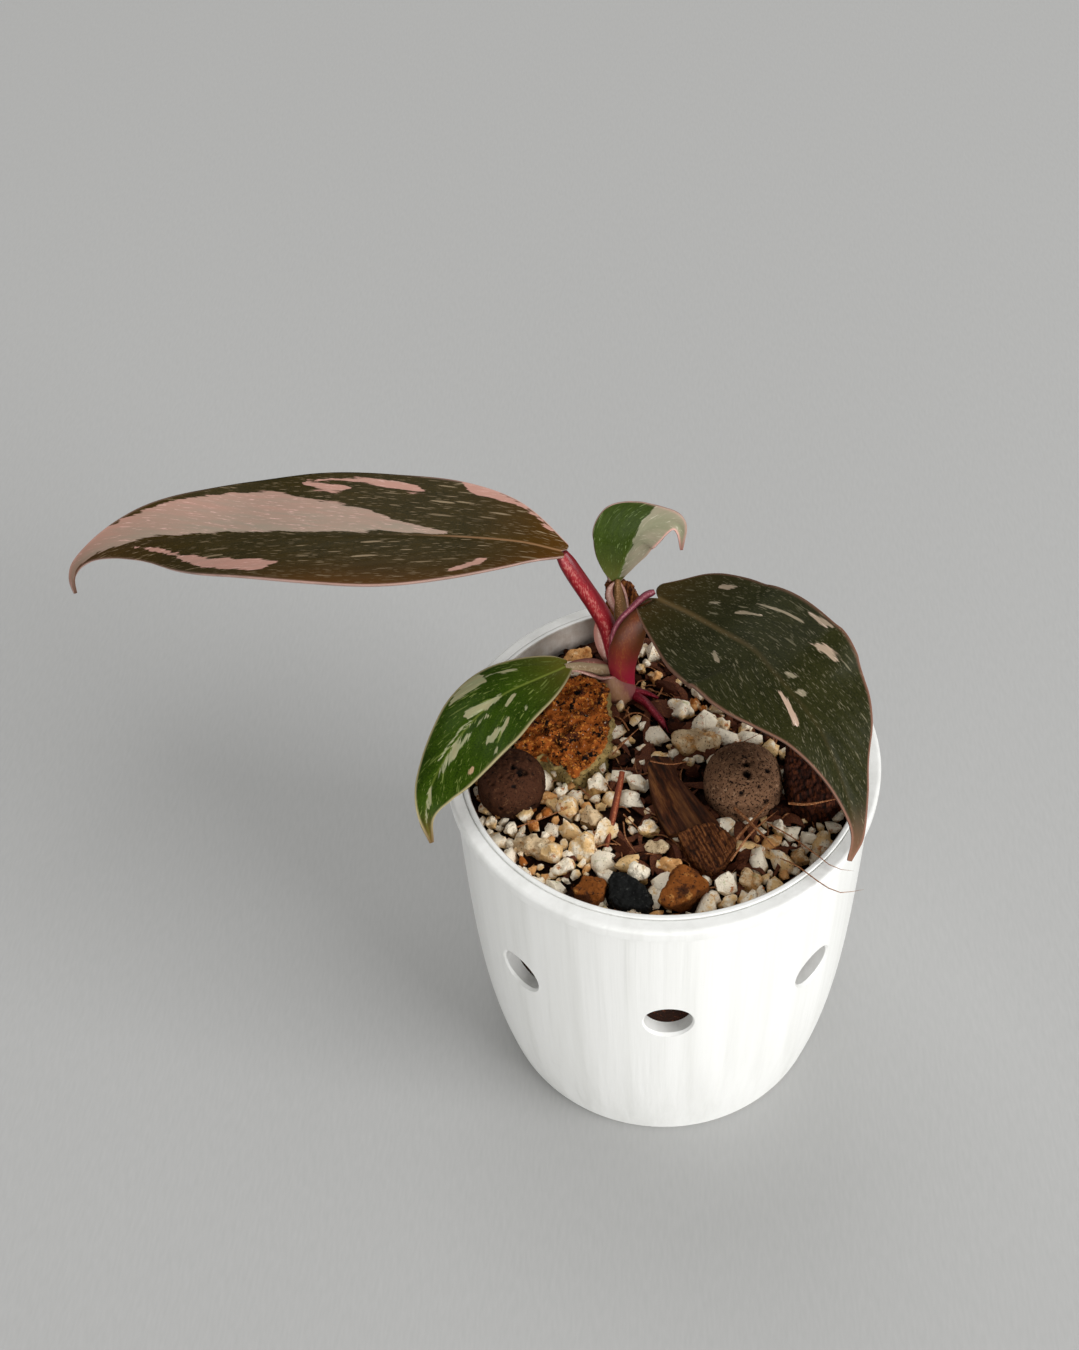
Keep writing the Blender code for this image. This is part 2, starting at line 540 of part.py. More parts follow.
def hide_helpers(*collections):
    """Mark cutters and helpers, so that only the parts are built."""
    for collection in collections:
        for item in collection.objects:
            item.hide_render = True
            item.display_type = "WIRE"


def main():
    """Build the plant, its mix and its pot."""
    for item in list(bpy.data.objects):
        bpy.data.objects.remove(item)
    parts = new_collection("pink_princess_philodendron")
    work = new_collection("work")
    holes = new_collection("air_holes")
    pockets = new_collection("pockets")
    grains = new_collection("grains")
    materials = {name: make_material(name) for name in FINISHES}
    make_pot(parts, holes, materials["pot_white"])
    make_stones(parts, pockets, materials)
    make_stems(parts, work, pockets, materials)
    place_grains(grains)
    make_mix(parts, work, grains, pockets, materials["mix_dark"])
    for item in list(grains.objects) + list(pockets.objects):
        bpy.data.objects.remove(item)
    for name, leaf in LEAVES.items():
        make_leaf(name, leaf, parts, materials[leaf["material"]])
    hide_helpers(work, holes)


main()
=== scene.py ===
"""The looks of a young pink princess philodendron in its round white pot.

Sizes and places are in millimetres, as in the part's source, and MM turns them into Blender's
metres. The origin is the centre of the pot's foot, +Z is up, and -Y is the side that the camera
looks from. Each sub-assembly is a class that builds its meshes and dresses them in their finishes.
"""

import json
import logging
import math
import random
from dataclasses import dataclass
from enum import Enum
from typing import Any, Callable, Sequence

import bmesh
import bpy
from mathutils import Matrix, Vector, noise

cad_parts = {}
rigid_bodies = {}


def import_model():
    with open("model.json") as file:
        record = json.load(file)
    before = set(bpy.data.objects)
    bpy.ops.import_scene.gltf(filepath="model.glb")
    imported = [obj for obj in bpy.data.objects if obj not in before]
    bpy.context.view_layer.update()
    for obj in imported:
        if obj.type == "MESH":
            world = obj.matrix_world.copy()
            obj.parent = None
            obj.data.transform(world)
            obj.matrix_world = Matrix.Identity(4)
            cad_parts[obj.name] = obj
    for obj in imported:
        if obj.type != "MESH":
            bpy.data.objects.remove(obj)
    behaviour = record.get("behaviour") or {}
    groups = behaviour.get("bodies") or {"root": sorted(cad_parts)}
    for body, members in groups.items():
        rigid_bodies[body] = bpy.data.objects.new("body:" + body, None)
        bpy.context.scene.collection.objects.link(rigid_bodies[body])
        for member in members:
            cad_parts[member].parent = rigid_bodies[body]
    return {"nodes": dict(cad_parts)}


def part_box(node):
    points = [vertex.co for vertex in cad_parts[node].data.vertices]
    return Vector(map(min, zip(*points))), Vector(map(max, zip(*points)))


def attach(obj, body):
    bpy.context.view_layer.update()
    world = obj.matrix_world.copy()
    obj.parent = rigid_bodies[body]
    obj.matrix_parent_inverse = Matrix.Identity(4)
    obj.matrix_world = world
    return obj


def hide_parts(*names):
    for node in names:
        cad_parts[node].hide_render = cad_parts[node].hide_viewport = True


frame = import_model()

log = logging.getLogger("philodendron")

MM = 0.001
WELD = 0.00001                 # distance, in metres, at which doubled points are merged
WAVE_LENGTH = math.tau / 20    # length of one wave of a wave texture, in its own units
BODY = "root"                  # the one body that every piece rides on
CURVE_STEPS = 24               # straight pieces that stand for one span of a smooth path
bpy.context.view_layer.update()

Point = tuple[float, float, float]
Pair = tuple[float, float]
Socket = bpy.types.NodeSocket


# Shared tools


def linear(hex_colour: str) -> tuple[float, float, float, float]:
    """Turn an sRGB hex colour into the linear values that Blender's sockets take.

    Args:
        hex_colour: Colour as #RRGGBB.

    Returns:
        Linear red, green and blue, and an alpha of 1.
    """
    channels = [int(hex_colour[i:i + 2], 16) / 255 for i in (1, 3, 5)]
    red, green, blue = (c / 12.92 if c <= 0.04045 else ((c + 0.055) / 1.055) ** 2.4 for c in channels)
    return red, green, blue, 1.0


def add_node(tree: bpy.types.NodeTree, kind: str, settings: dict[str, Any] | None = None,
             inputs: dict[str | int, Any] | None = None) -> bpy.types.Node:
    """Add a node with its settings, and link or fill its input sockets.

    Args:
        tree: The node tree to add to.
        kind: The node's type name.
        settings: The node's own properties.
        inputs: Socket name or number, with a value or the output socket that feeds it.

    Returns:
        The new node.
    """
    node = tree.nodes.new(kind)
    for name, value in (settings or {}).items():
        setattr(node, name, value)
    for name, value in (inputs or {}).items():
        if isinstance(value, bpy.types.NodeSocket):
            tree.links.new(value, node.inputs[name])
        else:
            node.inputs[name].default_value = value
    return node


def per_mm(size: float) -> float:
    """Texture scale, per metre, of a pattern that repeats every size millimetres."""
    return 1 / (size * MM)


def smooth_path(points: Sequence[Point], count: int) -> list[Vector]:
    """Read evenly spaced points from a smooth curve through the given ones.

    Args:
        points: Points that the curve passes through, in millimetres.
        count: How many points to read.

    Returns:
        The points, in millimetres.
    """
    knots = [Vector(p) for p in points]
    knots = [2 * knots[0] - knots[1]] + knots + [2 * knots[-1] - knots[-2]]
    dense = []
    for a, b, c, d in zip(knots, knots[1:], knots[2:], knots[3:]):
        for step in range(CURVE_STEPS):
            t = step / CURVE_STEPS
            dense.append(0.5 * (2 * b + (c - a) * t + (2 * a - 5 * b + 4 * c - d) * t ** 2
                                + (3 * b - a - 3 * c + d) * t ** 3))
    dense.append(knots[-2])
    lengths = [0.0]
    for before, after in zip(dense, dense[1:]):
        lengths.append(lengths[-1] + (after - before).length)
    result = []
    index = 0
    for step in range(count):
        target = lengths[-1] * step / (count - 1)
        while index < len(dense) - 2 and lengths[index + 1] < target:
            index += 1
        span = lengths[index + 1] - lengths[index]
        result.append(dense[index].lerp(dense[index + 1], (target - lengths[index]) / span))
    return result


def eased(rows: Sequence[Sequence[float]], column: int, at: float) -> float:
    """Read one column of a table at a place between its rows, on a smooth curve.

    Args:
        rows: Rows whose first value is the place.
        column: The column to read.
        at: The place.

    Returns:
        The value there.
    """
    last = len(rows) - 1
    low = 0
    while low < last - 1 and at > rows[low + 1][0]:
        low += 1
    before, after = rows[low], rows[low + 1]
    span = after[0] - before[0]
    t = min(max((at - before[0]) / span, 0.0), 1.0)
    first, final = rows[max(low - 1, 0)], rows[min(low + 2, last)]
    slope_in = (after[column] - first[column]) / (after[0] - first[0])
    slope_out = (final[column] - before[column]) / (final[0] - before[0])
    return ((2 * t ** 3 - 3 * t ** 2 + 1) * before[column] + (t ** 3 - 2 * t ** 2 + t) * span * slope_in
            + (3 * t ** 2 - 2 * t ** 3) * after[column] + (t ** 3 - t ** 2) * span * slope_out)


def smoothstep(low: float, high: float, value: float) -> float:
    """Ease from 0 at low to 1 at high."""
    t = min(max((value - low) / (high - low), 0.0), 1.0)
    return t * t * (3 - 2 * t)


def add_piece(name: str, shape: bmesh.types.BMesh, materials: Sequence[bpy.types.Material],
              slot: str | None, replaces: Sequence[str] = (), sharp: float = 40.0) -> bpy.types.Object:
    """Turn a bmesh into a finished piece that rides on the pot's body, unless it is a piece of the stage.

    Args:
        name: The piece's name.
        shape: Its mesh, in metres, already in place.
        materials: Its materials, in slot order.
        slot: The record's material slot, which is not given to the piece here; None marks a piece of the stage, which
            rides on no body.
        replaces: CAD nodes that the piece stands for.
        sharp: Edges steeper than this many degrees stay sharp.

    Returns:
        The new object.
    """
    mesh = bpy.data.meshes.new(name)
    shape.to_mesh(mesh)
    shape.free()
    mesh.shade_smooth()
    mesh.set_sharp_from_angle(angle=math.radians(sharp))
    for material in materials:
        mesh.materials.append(material)
    piece = bpy.data.objects.new(name, mesh)
    bpy.context.scene.collection.objects.link(piece)
    if slot is None:
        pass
    else:
        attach(piece, BODY)
    if replaces:
        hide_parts(*replaces)
    log.info("%s: %d faces", name, len(mesh.polygons))
    return piece


def node_shape(node: str) -> bmesh.types.BMesh:
    """Copy a CAD node's mesh into a bmesh with its loose triangles merged.

    Args:
        node: The node's name.

    Returns:
        Its mesh, in metres.
    """
    shape = bmesh.new()
    shape.from_mesh(frame["nodes"][node].data)
    bmesh.ops.remove_doubles(shape, verts=shape.verts, dist=WELD)
    return shape


def sweep(path: Sequence[Vector], section: Callable[[float, float], Pair], facets: int,
          face: Vector, shape: bmesh.types.BMesh | None = None) -> bmesh.types.BMesh:
    """Sweep a changing section along a path and close its ends.

    Args:
        path: Evenly spaced points of the middle line, in millimetres.
        section: Takes the share of the length and the angle round the section, and returns the
            point of the outline as (sideways, towards face), in millimetres.
        facets: How many sides the section has.
        face: The direction that the section's second axis leans towards.
        shape: A shape to add to, or None for a new one.

    Returns:
        The closed shape, in metres.
    """
    shape = shape or bmesh.new()
    ring = bmesh.ops.create_circle(shape, cap_ends=False, segments=facets, radius=MM)["verts"]
    edges = list({edge for vertex in ring for edge in vertex.link_edges})
    made = set(ring)
    ends = [edges]
    last = len(path) - 1
    for step, middle in enumerate(path):
        if step:
            moved = bmesh.ops.extrude_edge_only(shape, edges=edges)["geom"]
            new = {part for part in moved if isinstance(part, bmesh.types.BMVert)}
            edges = [part for part in moved if isinstance(part, bmesh.types.BMEdge)]
            ring = [next(edge.other_vert(vertex) for edge in vertex.link_edges
                         if edge.other_vert(vertex) in new) for vertex in ring]
            made |= new
        along = (path[min(step + 1, last)] - path[max(step - 1, 0)]).normalized()
        side = face.cross(along).normalized()
        up = along.cross(side)
        for number, vertex in enumerate(ring):
            a, b = section(step / last, 2 * math.pi * number / facets)
            vertex.co = (middle + side * a + up * b) * MM
    ends.append(edges)
    for rim in ends:
        bmesh.ops.contextual_create(shape, geom=rim)
    bmesh.ops.recalc_face_normals(shape, faces=list({face for vertex in made for face in vertex.link_faces}))
    return shape


def even_skin(shape: bmesh.types.BMesh, size: float) -> bmesh.types.BMesh:
    """Give a closed shape an even skin of small faces.

    Args:
        shape: The closed shape, in metres; it is freed.
        size: Size of a face, in millimetres.

    Returns:
        The same form with the new skin.
    """
    mesh = bpy.data.meshes.new("even_skin")
    shape.to_mesh(mesh)
    shape.free()
    item = bpy.data.objects.new("even_skin", mesh)
    bpy.context.scene.collection.objects.link(item)
    skin = item.modifiers.new("skin", "REMESH")
    skin.mode = "VOXEL"
    skin.voxel_size = size * MM
    bpy.context.view_layer.update()
    fine = bmesh.new()
    fine.from_object(item, bpy.context.evaluated_depsgraph_get())
    bpy.data.objects.remove(item)
    bpy.data.meshes.remove(mesh)
    return fine


# Finishes


STONE_MIRROR = 0.12    # specular level of dry stone and chips, which mirror next to nothing
LEAF_FIELDS = ("sector", "flush", "tint", "margin", "rib", "dusk")    # a blade's own attributes


@dataclass
class Surface:
    """The node tree of one material, and short ways to add the nodes that the finishes share.

    Attributes:
        material: The material.
        tree: Its node tree.
        shader: Its Principled shader.
        place: Its Object coordinates, in metres.
    """

    material: bpy.types.Material
    tree: bpy.types.NodeTree
    shader: bpy.types.Node
    place: Socket

    def mapped(self, vector: Socket, scale: Point = (1, 1, 1), shift: Point = (0, 0, 0),
               turn: Point = (0, 0, 0)) -> Socket:
        """Scale, shift and turn coordinates."""
        return add_node(self.tree, "ShaderNodeMapping", inputs={
            "Vector": vector, "Location": shift, "Rotation": turn, "Scale": scale}).outputs[0]

    def noise(self, vector: Socket, scale: float, detail: float = 2.0, roughness: float = 0.5,
              output: str = "Fac") -> Socket:
        """Add a noise.

        Args:
            vector: The coordinates it is read at.
            scale: How many of its lumps fit in one unit of them.
            detail: How many finer octaves it has.
            roughness: How strong those are.
            output: Which output is wanted, Fac or Color.

        Returns:
            That output.
        """
        return add_node(self.tree, "ShaderNodeTexNoise", inputs={
            "Vector": vector, "Scale": scale, "Detail": detail, "Roughness": roughness}).outputs[output]

    def maths(self, operation: str, *values: Socket | float, clamp: bool = False) -> Socket:
        """Work out one value from others, which are sockets or numbers."""
        return add_node(self.tree, "ShaderNodeMath", {"operation": operation, "use_clamp": clamp},
                        dict(enumerate(values))).outputs[0]

    def rise(self, value: Socket, low: float, high: float, top: float = 1.0, kind: str = "SMOOTHSTEP") -> Socket:
        """Rise from 0, where value is low, to top, where it is high."""
        return add_node(self.tree, "ShaderNodeMapRange", {"interpolation_type": kind}, {
            "Value": value, "From Min": low, "From Max": high, "To Max": top}).outputs[0]

    def blend(self, share: Socket, low: Socket | str, high: Socket | str) -> Socket:
        """Blend from one colour to another; each is a socket or an sRGB hex value."""
        low, high = (linear(colour) if isinstance(colour, str) else colour for colour in (low, high))
        return add_node(self.tree, "ShaderNodeMix", {"data_type": "RGBA"}, {0: share, 6: low, 7: high}).outputs[2]

    def field(self, name: str) -> Socket:
        """Read one of the mesh's own attributes."""
        return add_node(self.tree, "ShaderNodeAttribute", {"attribute_name": name}).outputs["Fac"]

    def uv(self, name: str) -> Socket:
        """Read one of the mesh's own UV maps, which hold real metres."""
        return add_node(self.tree, "ShaderNodeUVMap", {"uv_map": name}).outputs[0]

    def axis(self, vector: Socket, number: int) -> Socket:
        """Take one axis of coordinates."""
        return add_node(self.tree, "ShaderNodeSeparateXYZ", inputs={"Vector": vector}).outputs[number]

    def relief(self, height: Socket, strength: float, depth: float) -> None:
        """Raise a fine relief, on top of any that the shader has already.

        Args:
            height: Its height, from 0 to 1.
            strength: How much of it shows.
            depth: Its depth, in millimetres.
        """
        bump = add_node(self.tree, "ShaderNodeBump", inputs={
            "Height": height, "Strength": strength, "Distance": depth * MM})
        for link in self.shader.inputs["Normal"].links:
            self.tree.links.new(link.from_socket, bump.inputs["Normal"])
        self.tree.links.new(bump.outputs[0], self.shader.inputs["Normal"])

    def finish(self, colour: Socket) -> bpy.types.Material:
        """Give the shader its colour and return the finished material."""
        self.tree.links.new(colour, self.shader.inputs["Base Color"])
        return self.material


@dataclass(frozen=True)
class Finish:
    """What every finish shares.

    Attributes:
        name: The real material and how its surface was made.
        roughness: Roughness of the bare surface.
    """

    name: str
    roughness: float = 0.6

    def start(self, sockets: dict[str, float] | None = None) -> Surface:
        """Start the material.

        Args:
            sockets: Values for the shader's sockets, by their names.

        Returns:
            Its surface.
        """
        material = bpy.data.materials.new(self.name)
        material.use_nodes = True
        shader = material.node_tree.nodes["Principled BSDF"]
        for name, value in {"Roughness": self.roughness, "Metallic": 0.0, **(sockets or {})}.items():
            shader.inputs[name].default_value = value
        place = add_node(material.node_tree, "ShaderNodeTexCoord").outputs["Object"]
        return Surface(material, material.node_tree, shader, place)


@dataclass(frozen=True)
class PrintedPlastic(Finish):
    """White plastic laid down in thin layers: semi-gloss, with fine level lines round its side.

    Attributes:
        white: Colour of the plastic.
        reflection_band: Colour of the upright bands of painted reflection, the soft streaks that the semi-gloss side
            shows.
        mix_reflection: Colour painted on the wall inside the mouth: painted reflection of the brown mix, and painted
            shade, on the semi-gloss plastic.
        mouth: Radius, in millimetres, inside which the wall carries that painted reflection.
        mix_reflection_level: Height, in millimetres, above which it is painted.
        layer: Spacing of the level lines, in millimetres. A real layer is 0.2; the lines are drawn
            wider apart, so that they show in the render.
        ripple: Width of the upright bands of painted reflection, and of their relief, in millimetres.
    """

    white: str = "#EDEDEA"
    reflection_band: str = "#E0E0DC"
    mix_reflection: str = "#9C8874"
    mouth: float = 38.75
    mix_reflection_level: float = 72.0
    layer: float = 3.456
    ripple: float = 4.5

    def build(self) -> bpy.types.Material:
        """Build the material."""
        surface = self.start({"IOR": 1.48})
        place = surface.place
        # upright bands of painted reflection: the soft light and dark streaks of the semi-gloss side, painted into
        # its colour; the same noise raises a relief
        ripple = surface.noise(surface.mapped(place, (1, 1, 0.03)), per_mm(self.ripple), 4.0, 0.6)
        plastic = surface.blend(surface.rise(ripple, 0.34, 0.8), self.white, self.reflection_band)
        # painted reflection and shade: the mix's brown, laid in blotches on the wall inside the mouth, above the
        # given height
        flat = surface.mapped(place, (1, 1, 0))
        reach = add_node(surface.tree, "ShaderNodeVectorMath", {"operation": "LENGTH"}, {0: flat}).outputs["Value"]
        inside = surface.rise(reach, (self.mouth + 0.1) * MM, self.mouth * MM, kind="LINEAR")
        high = surface.rise(surface.axis(place, 2), self.mix_reflection_level * MM, (self.mix_reflection_level + 3) * MM, kind="LINEAR")
        reflection_blotches = surface.noise(place, per_mm(3.0), 4.0, 0.7)
        mix_reflection = surface.maths("MULTIPLY", surface.maths("MULTIPLY", inside, high), reflection_blotches)
        lines = add_node(surface.tree, "ShaderNodeTexWave", {"bands_direction": "Z"}, {
            "Vector": place, "Scale": WAVE_LENGTH * per_mm(self.layer), "Distortion": 0.6,
            "Detail": 2.0, "Detail Scale": 1.5})
        surface.relief(ripple, 0.35, 0.7)
        surface.relief(lines.outputs["Fac"], 0.2, 0.1)
        return surface.finish(surface.blend(mix_reflection, plastic, self.mix_reflection))


@dataclass(frozen=True)
class LeafSkin(Finish):
    """Living leaf: waxy skin over green flesh, with sectors and flecks that hold no green.

    The blade's own UV maps carry the pattern: "blade" is the distance along and across the midrib,
    and "veins" is where the side vein starts on the midrib and the distance from the midrib, so a
    noise that is stretched there runs along the side veins. The mesh's attributes say where the
    sectors lie.

    Attributes:
        deep: Main green of the blade.
        light: Second green, in soft streaks along the side veins.
        warm: Brown tint towards the stalk and the tip.
        pale: Colour of a sector without green.
        flush: Pinker colour inside the sectors.
        bright: Colour of the palest streaks in a sector.
        rim: Colour along the margin.
        fleck: Colour of the small flecks.
        rib: Colour of the line along the midrib.
        dusk: Colour that darkens the tip.
        rib_width: Half-width of that line, in millimetres.
        flecks: For each layer of flecks, the spacing across and along the side veins in
            millimetres, and the share of places that hold none.
        gloss: How strongly the wax mirrors the lights.
    """

    deep: str = "#3A3A22"
    light: str = "#4A4A2A"
    warm: str = "#6A4A2A"
    pale: str = "#A8988A"
    flush: str = "#C89A8C"
    bright: str = "#D8B8AC"
    rim: str = "#D8A8A0"
    fleck: str = "#B09A88"
    rib: str = "#8A6A48"
    dusk: str = "#4A3020"
    rib_width: float = 0.5
    flecks: tuple[tuple[float, float, float], ...] = ((0.9, 2.6, 0.6), (0.5, 1.1, 0.7))
    gloss: float = 0.12

    def flecked(self, surface: Surface, veins: Socket, wobble: Socket, layer: Point) -> Socket:
        """Lay one layer of flecks.

        Args:
            surface: The material's surface.
            veins: Coordinates along and across the side veins.
            wobble: Noise that shakes them.
            layer: One row of flecks.

        Returns:
            How strongly a fleck shows at each place.
        """
        across, along, bare = layer
        laid = surface.mapped(veins, (per_mm(across), per_mm(along), 1))
        shaken = add_node(surface.tree, "ShaderNodeMix", {"data_type": "VECTOR"}, {
            0: 0.16, 4: laid, 5: wobble}).outputs[1]
        cells = add_node(surface.tree, "ShaderNodeTexVoronoi", inputs={"Vector": shaken, "Scale": 1.0})
        chance = add_node(surface.tree, "ShaderNodeSeparateColor", inputs={"Color": cells.outputs["Color"]})
        size = surface.maths("MULTIPLY_ADD", chance.outputs[0], 0.5 / (1 - bare), -0.5 * bare / (1 - bare))
        shown = surface.rise(surface.maths("SUBTRACT", size, cells.outputs["Distance"]), -0.06, 0.14)
        fade = surface.maths("MULTIPLY_ADD", chance.outputs[1], 0.75, 0.25, clamp=True)
        return surface.maths("MULTIPLY", shown, fade)

    def build(self) -> bpy.types.Material:
        """Build the material of the upper side."""
        surface = self.start({"IOR": 1.45, "Specular IOR Level": self.gloss})
        blade, veins = surface.uv("blade"), surface.uv("veins")
        share = {name: surface.field(name) for name in LEAF_FIELDS}
        run = surface.mapped(veins, (per_mm(1.0), per_mm(6.0), 1))
        streak = surface.noise(run, 0.7, 4.0, 0.65)
        cloud = surface.noise(blade, per_mm(8.0), 3.0, 0.6)
        drift = surface.maths("MULTIPLY_ADD", streak, 1.2, -0.6)
        mottle = surface.maths("MULTIPLY_ADD", surface.noise(blade, per_mm(0.35), 2.0, 0.7), 2.2, -1.1)
        patchy = surface.maths("ADD", cloud, surface.maths("ADD", mottle, drift), clamp=True)
        skin = surface.blend(share["tint"], surface.blend(patchy, self.deep, self.light), self.warm)
        line = surface.rise(surface.maths("ABSOLUTE", surface.axis(blade, 1)), self.rib_width * MM, 0.0)
        skin = surface.blend(surface.maths("MULTIPLY", line, share["rib"]), skin, self.rib)
        wobble = surface.noise(blade, per_mm(0.8), output="Color")
        for layer in self.flecks:
            skin = surface.blend(self.flecked(surface, veins, wobble, layer), skin, self.fleck)
        ragged = surface.maths("MULTIPLY_ADD", streak, 1.4, -0.7)
        inside = surface.rise(surface.maths("ADD", share["sector"], ragged), -0.05, 0.07)
        wash = surface.maths("ADD", share["flush"], drift, clamp=True)
        palest = surface.rise(surface.noise(run, 2.4, 3.0, 0.7), 0.56, 0.7)
        pale = surface.blend(palest, surface.blend(wash, self.pale, self.flush), self.bright)
        rimmed = surface.blend(share["margin"], surface.blend(inside, skin, pale), self.rim)
        surface.relief(surface.noise(blade, per_mm(0.5)), 0.25, 0.06)
        return surface.finish(surface.blend(share["dusk"], rimmed, self.dusk))


@dataclass(frozen=True)
class LeafBack(Finish):
    """The paler, duller underside of a leaf, flushed red along its veins.

    Attributes:
        green: Colour of the flesh.
        red: Colour of the flush.
    """

    green: str = "#56603C"
    red: str = "#6E3A32"

    def build(self) -> bpy.types.Material:
        """Build the material."""
        surface = self.start()
        run = surface.mapped(surface.uv("veins"), (per_mm(3.0), per_mm(14.0), 1))
        return surface.finish(surface.blend(surface.noise(run, 1.0, 3.0), self.green, self.red))


@dataclass(frozen=True)
class StalkSkin(Finish):
    """Smooth living stalk with a thin wax gloss, darker at its edges as painted shade, and fine pale pores that crowd
    along its lit middle as a painted highlight.

    The piece's own attributes carry its pattern: "along" runs from 0 at the foot to 1 higher up,
    and "side" from -1 at its left edge to 1 at its right.

    Attributes:
        main: Main colour.
        shade: Darker colour: painted shade at the edges, and long clouds of the stalk's own.
        speck: Colour of the pores.
        foot: Colour at the foot of the stalk.
        pore: Width of a pore, in millimetres.
        pores: Strength of the pores.
    """

    main: str = "#A3262F"
    shade: str = "#6A1418"
    speck: str = "#D88A80"
    foot: str = "#7A1418"
    pore: float = 0.28
    pores: float = 0.7

    def build(self) -> bpy.types.Material:
        """Build the material."""
        surface = self.start({"Specular IOR Level": 0.3})
        drawn = surface.mapped(surface.place, (1, 1, 0.3))
        cloud = surface.noise(drawn, per_mm(1.2), 4.0, 0.65)
        # painted light: the edges darken with the distance from a line a little right of the middle (painted shade),
        # and the pale pores crowd along that line (painted highlight)
        off_lit_line = surface.maths("ABSOLUTE", surface.maths("SUBTRACT", surface.field("side"), 0.15))
        dark = surface.rise(surface.maths("ADD", off_lit_line, cloud), 0.55, 1.35)
        body = surface.blend(dark, self.main, self.shade)
        footed = surface.blend(surface.field("along"), self.foot, body)
        pores = surface.maths("MULTIPLY_ADD", off_lit_line, -0.3, surface.noise(drawn, per_mm(self.pore)))
        dots = surface.rise(pores, 0.42, 0.6, self.pores)
        surface.relief(cloud, 0.4, 0.2)
        return surface.finish(surface.blend(dots, footed, self.speck))


@dataclass(frozen=True)
class Stain:
    """One colour that lies in blots on a stone.

    Attributes:
        colour: Its colour.
        size: Width of a blot, in millimetres.
        level: Noise level above which it shows.
        soft: Width of its soft edge, as noise.
    """

    colour: str
    size: float
    level: float
    soft: float = 0.12


@dataclass(frozen=True)
class GrittyStone(Finish):
    """Dry porous stone, matt, stained in blots and with a grit of its own size.

    Attributes:
        body: Main colour.
        stains: Blots over it, the first of which also follows the piece's own "tone" attribute.
        skirt: Colour of the sides, under the last two stains, where the piece's "skirt" attribute
            says so.
        grit: Width of the grit, in millimetres.
        relief: Height of the grit, in millimetres.
    """

    body: str = "#D9C3A0"
    stains: tuple[Stain, ...] = ()
    skirt: str = "#B07A3E"
    grit: float = 0.5
    relief: float = 0.25

    def build(self) -> bpy.types.Material:
        """Build the material."""
        surface = self.start({"Specular IOR Level": STONE_MIRROR})
        place = surface.place
        tone, skirt = surface.field("tone"), surface.field("skirt")
        colour = add_node(surface.tree, "ShaderNodeRGB").outputs[0]
        colour.default_value = linear(self.body)
        for number, stain in enumerate(self.stains):
            if number == len(self.stains) - 2:
                colour = surface.blend(skirt, colour, self.skirt)
            offset = surface.mapped(place, shift=(0.1 * number, 0.03 * number, 0))
            level = surface.noise(offset, per_mm(stain.size), 4.0, 0.65)
            if number == 0:
                level = surface.maths("ADD", level, tone)
            colour = surface.blend(surface.rise(level, stain.level, stain.level + stain.soft), colour, stain.colour)
        surface.relief(surface.noise(place, per_mm(self.grit), 3.0, 0.7), 0.9, self.relief)
        return surface.finish(colour)


@dataclass(frozen=True)
class FibrousChip(Finish):
    """Cut chip of coconut husk or bark: long fibres side by side, matt.

    Attributes:
        body: Main colour.
        pale: Colour of the raised fibres.
        dark: Colour between the fibres.
        turn: Direction of the fibres about Z, in degrees from +X.
        tilt: Lean of the fibres above level, in degrees.
        fibre: Width of a fibre, in millimetres.
    """

    body: str = "#6B4024"
    pale: str = "#A0683C"
    dark: str = "#2A150C"
    turn: float = 0.0
    tilt: float = 0.0
    fibre: float = 0.5

    def build(self) -> bpy.types.Material:
        """Build the material."""
        surface = self.start({"Specular IOR Level": STONE_MIRROR})
        laid = add_node(surface.tree, "ShaderNodeMapping", {"vector_type": "TEXTURE"}, {
            "Vector": surface.place, "Rotation": (0, math.radians(-self.tilt), math.radians(self.turn))}).outputs[0]
        fibres = surface.noise(surface.mapped(laid, (0.08, 1, 1)), per_mm(self.fibre), 3.0, 0.6)
        ramp = add_node(surface.tree, "ShaderNodeValToRGB", inputs={"Fac": fibres})
        stops = ramp.color_ramp.elements
        stops[0].position, stops[0].color = 0.35, linear(self.dark)
        stops[1].position, stops[1].color = 0.72, linear(self.pale)
        stops.new(0.5).color = linear(self.body)
        surface.relief(fibres, 0.9, 0.5)
        return surface.finish(ramp.outputs["Color"])


@dataclass(frozen=True)
class SeamlessPaper(Finish):
    """Matt pale grey studio paper with a fine slanting tooth.

    Attributes:
        grey: Its colour.
        tooth: Colour of its raised tooth.
    """

    grey: str = "#B1B1B0"
    tooth: str = "#BBBBBA"

    def build(self) -> bpy.types.Material:
        """Build the material."""
        surface = self.start({"Specular IOR Level": 0.2})
        slanted = surface.mapped(surface.place, (1, 0.2, 1), turn=(0, 0, math.radians(35)))
        return surface.finish(surface.blend(surface.noise(slanted, per_mm(0.7)), self.grey, self.tooth))


# Printed plastic: a soft highlight, broken by level lines.
POT_PLASTIC = PrintedPlastic("white_printed_plastic", 0.38)
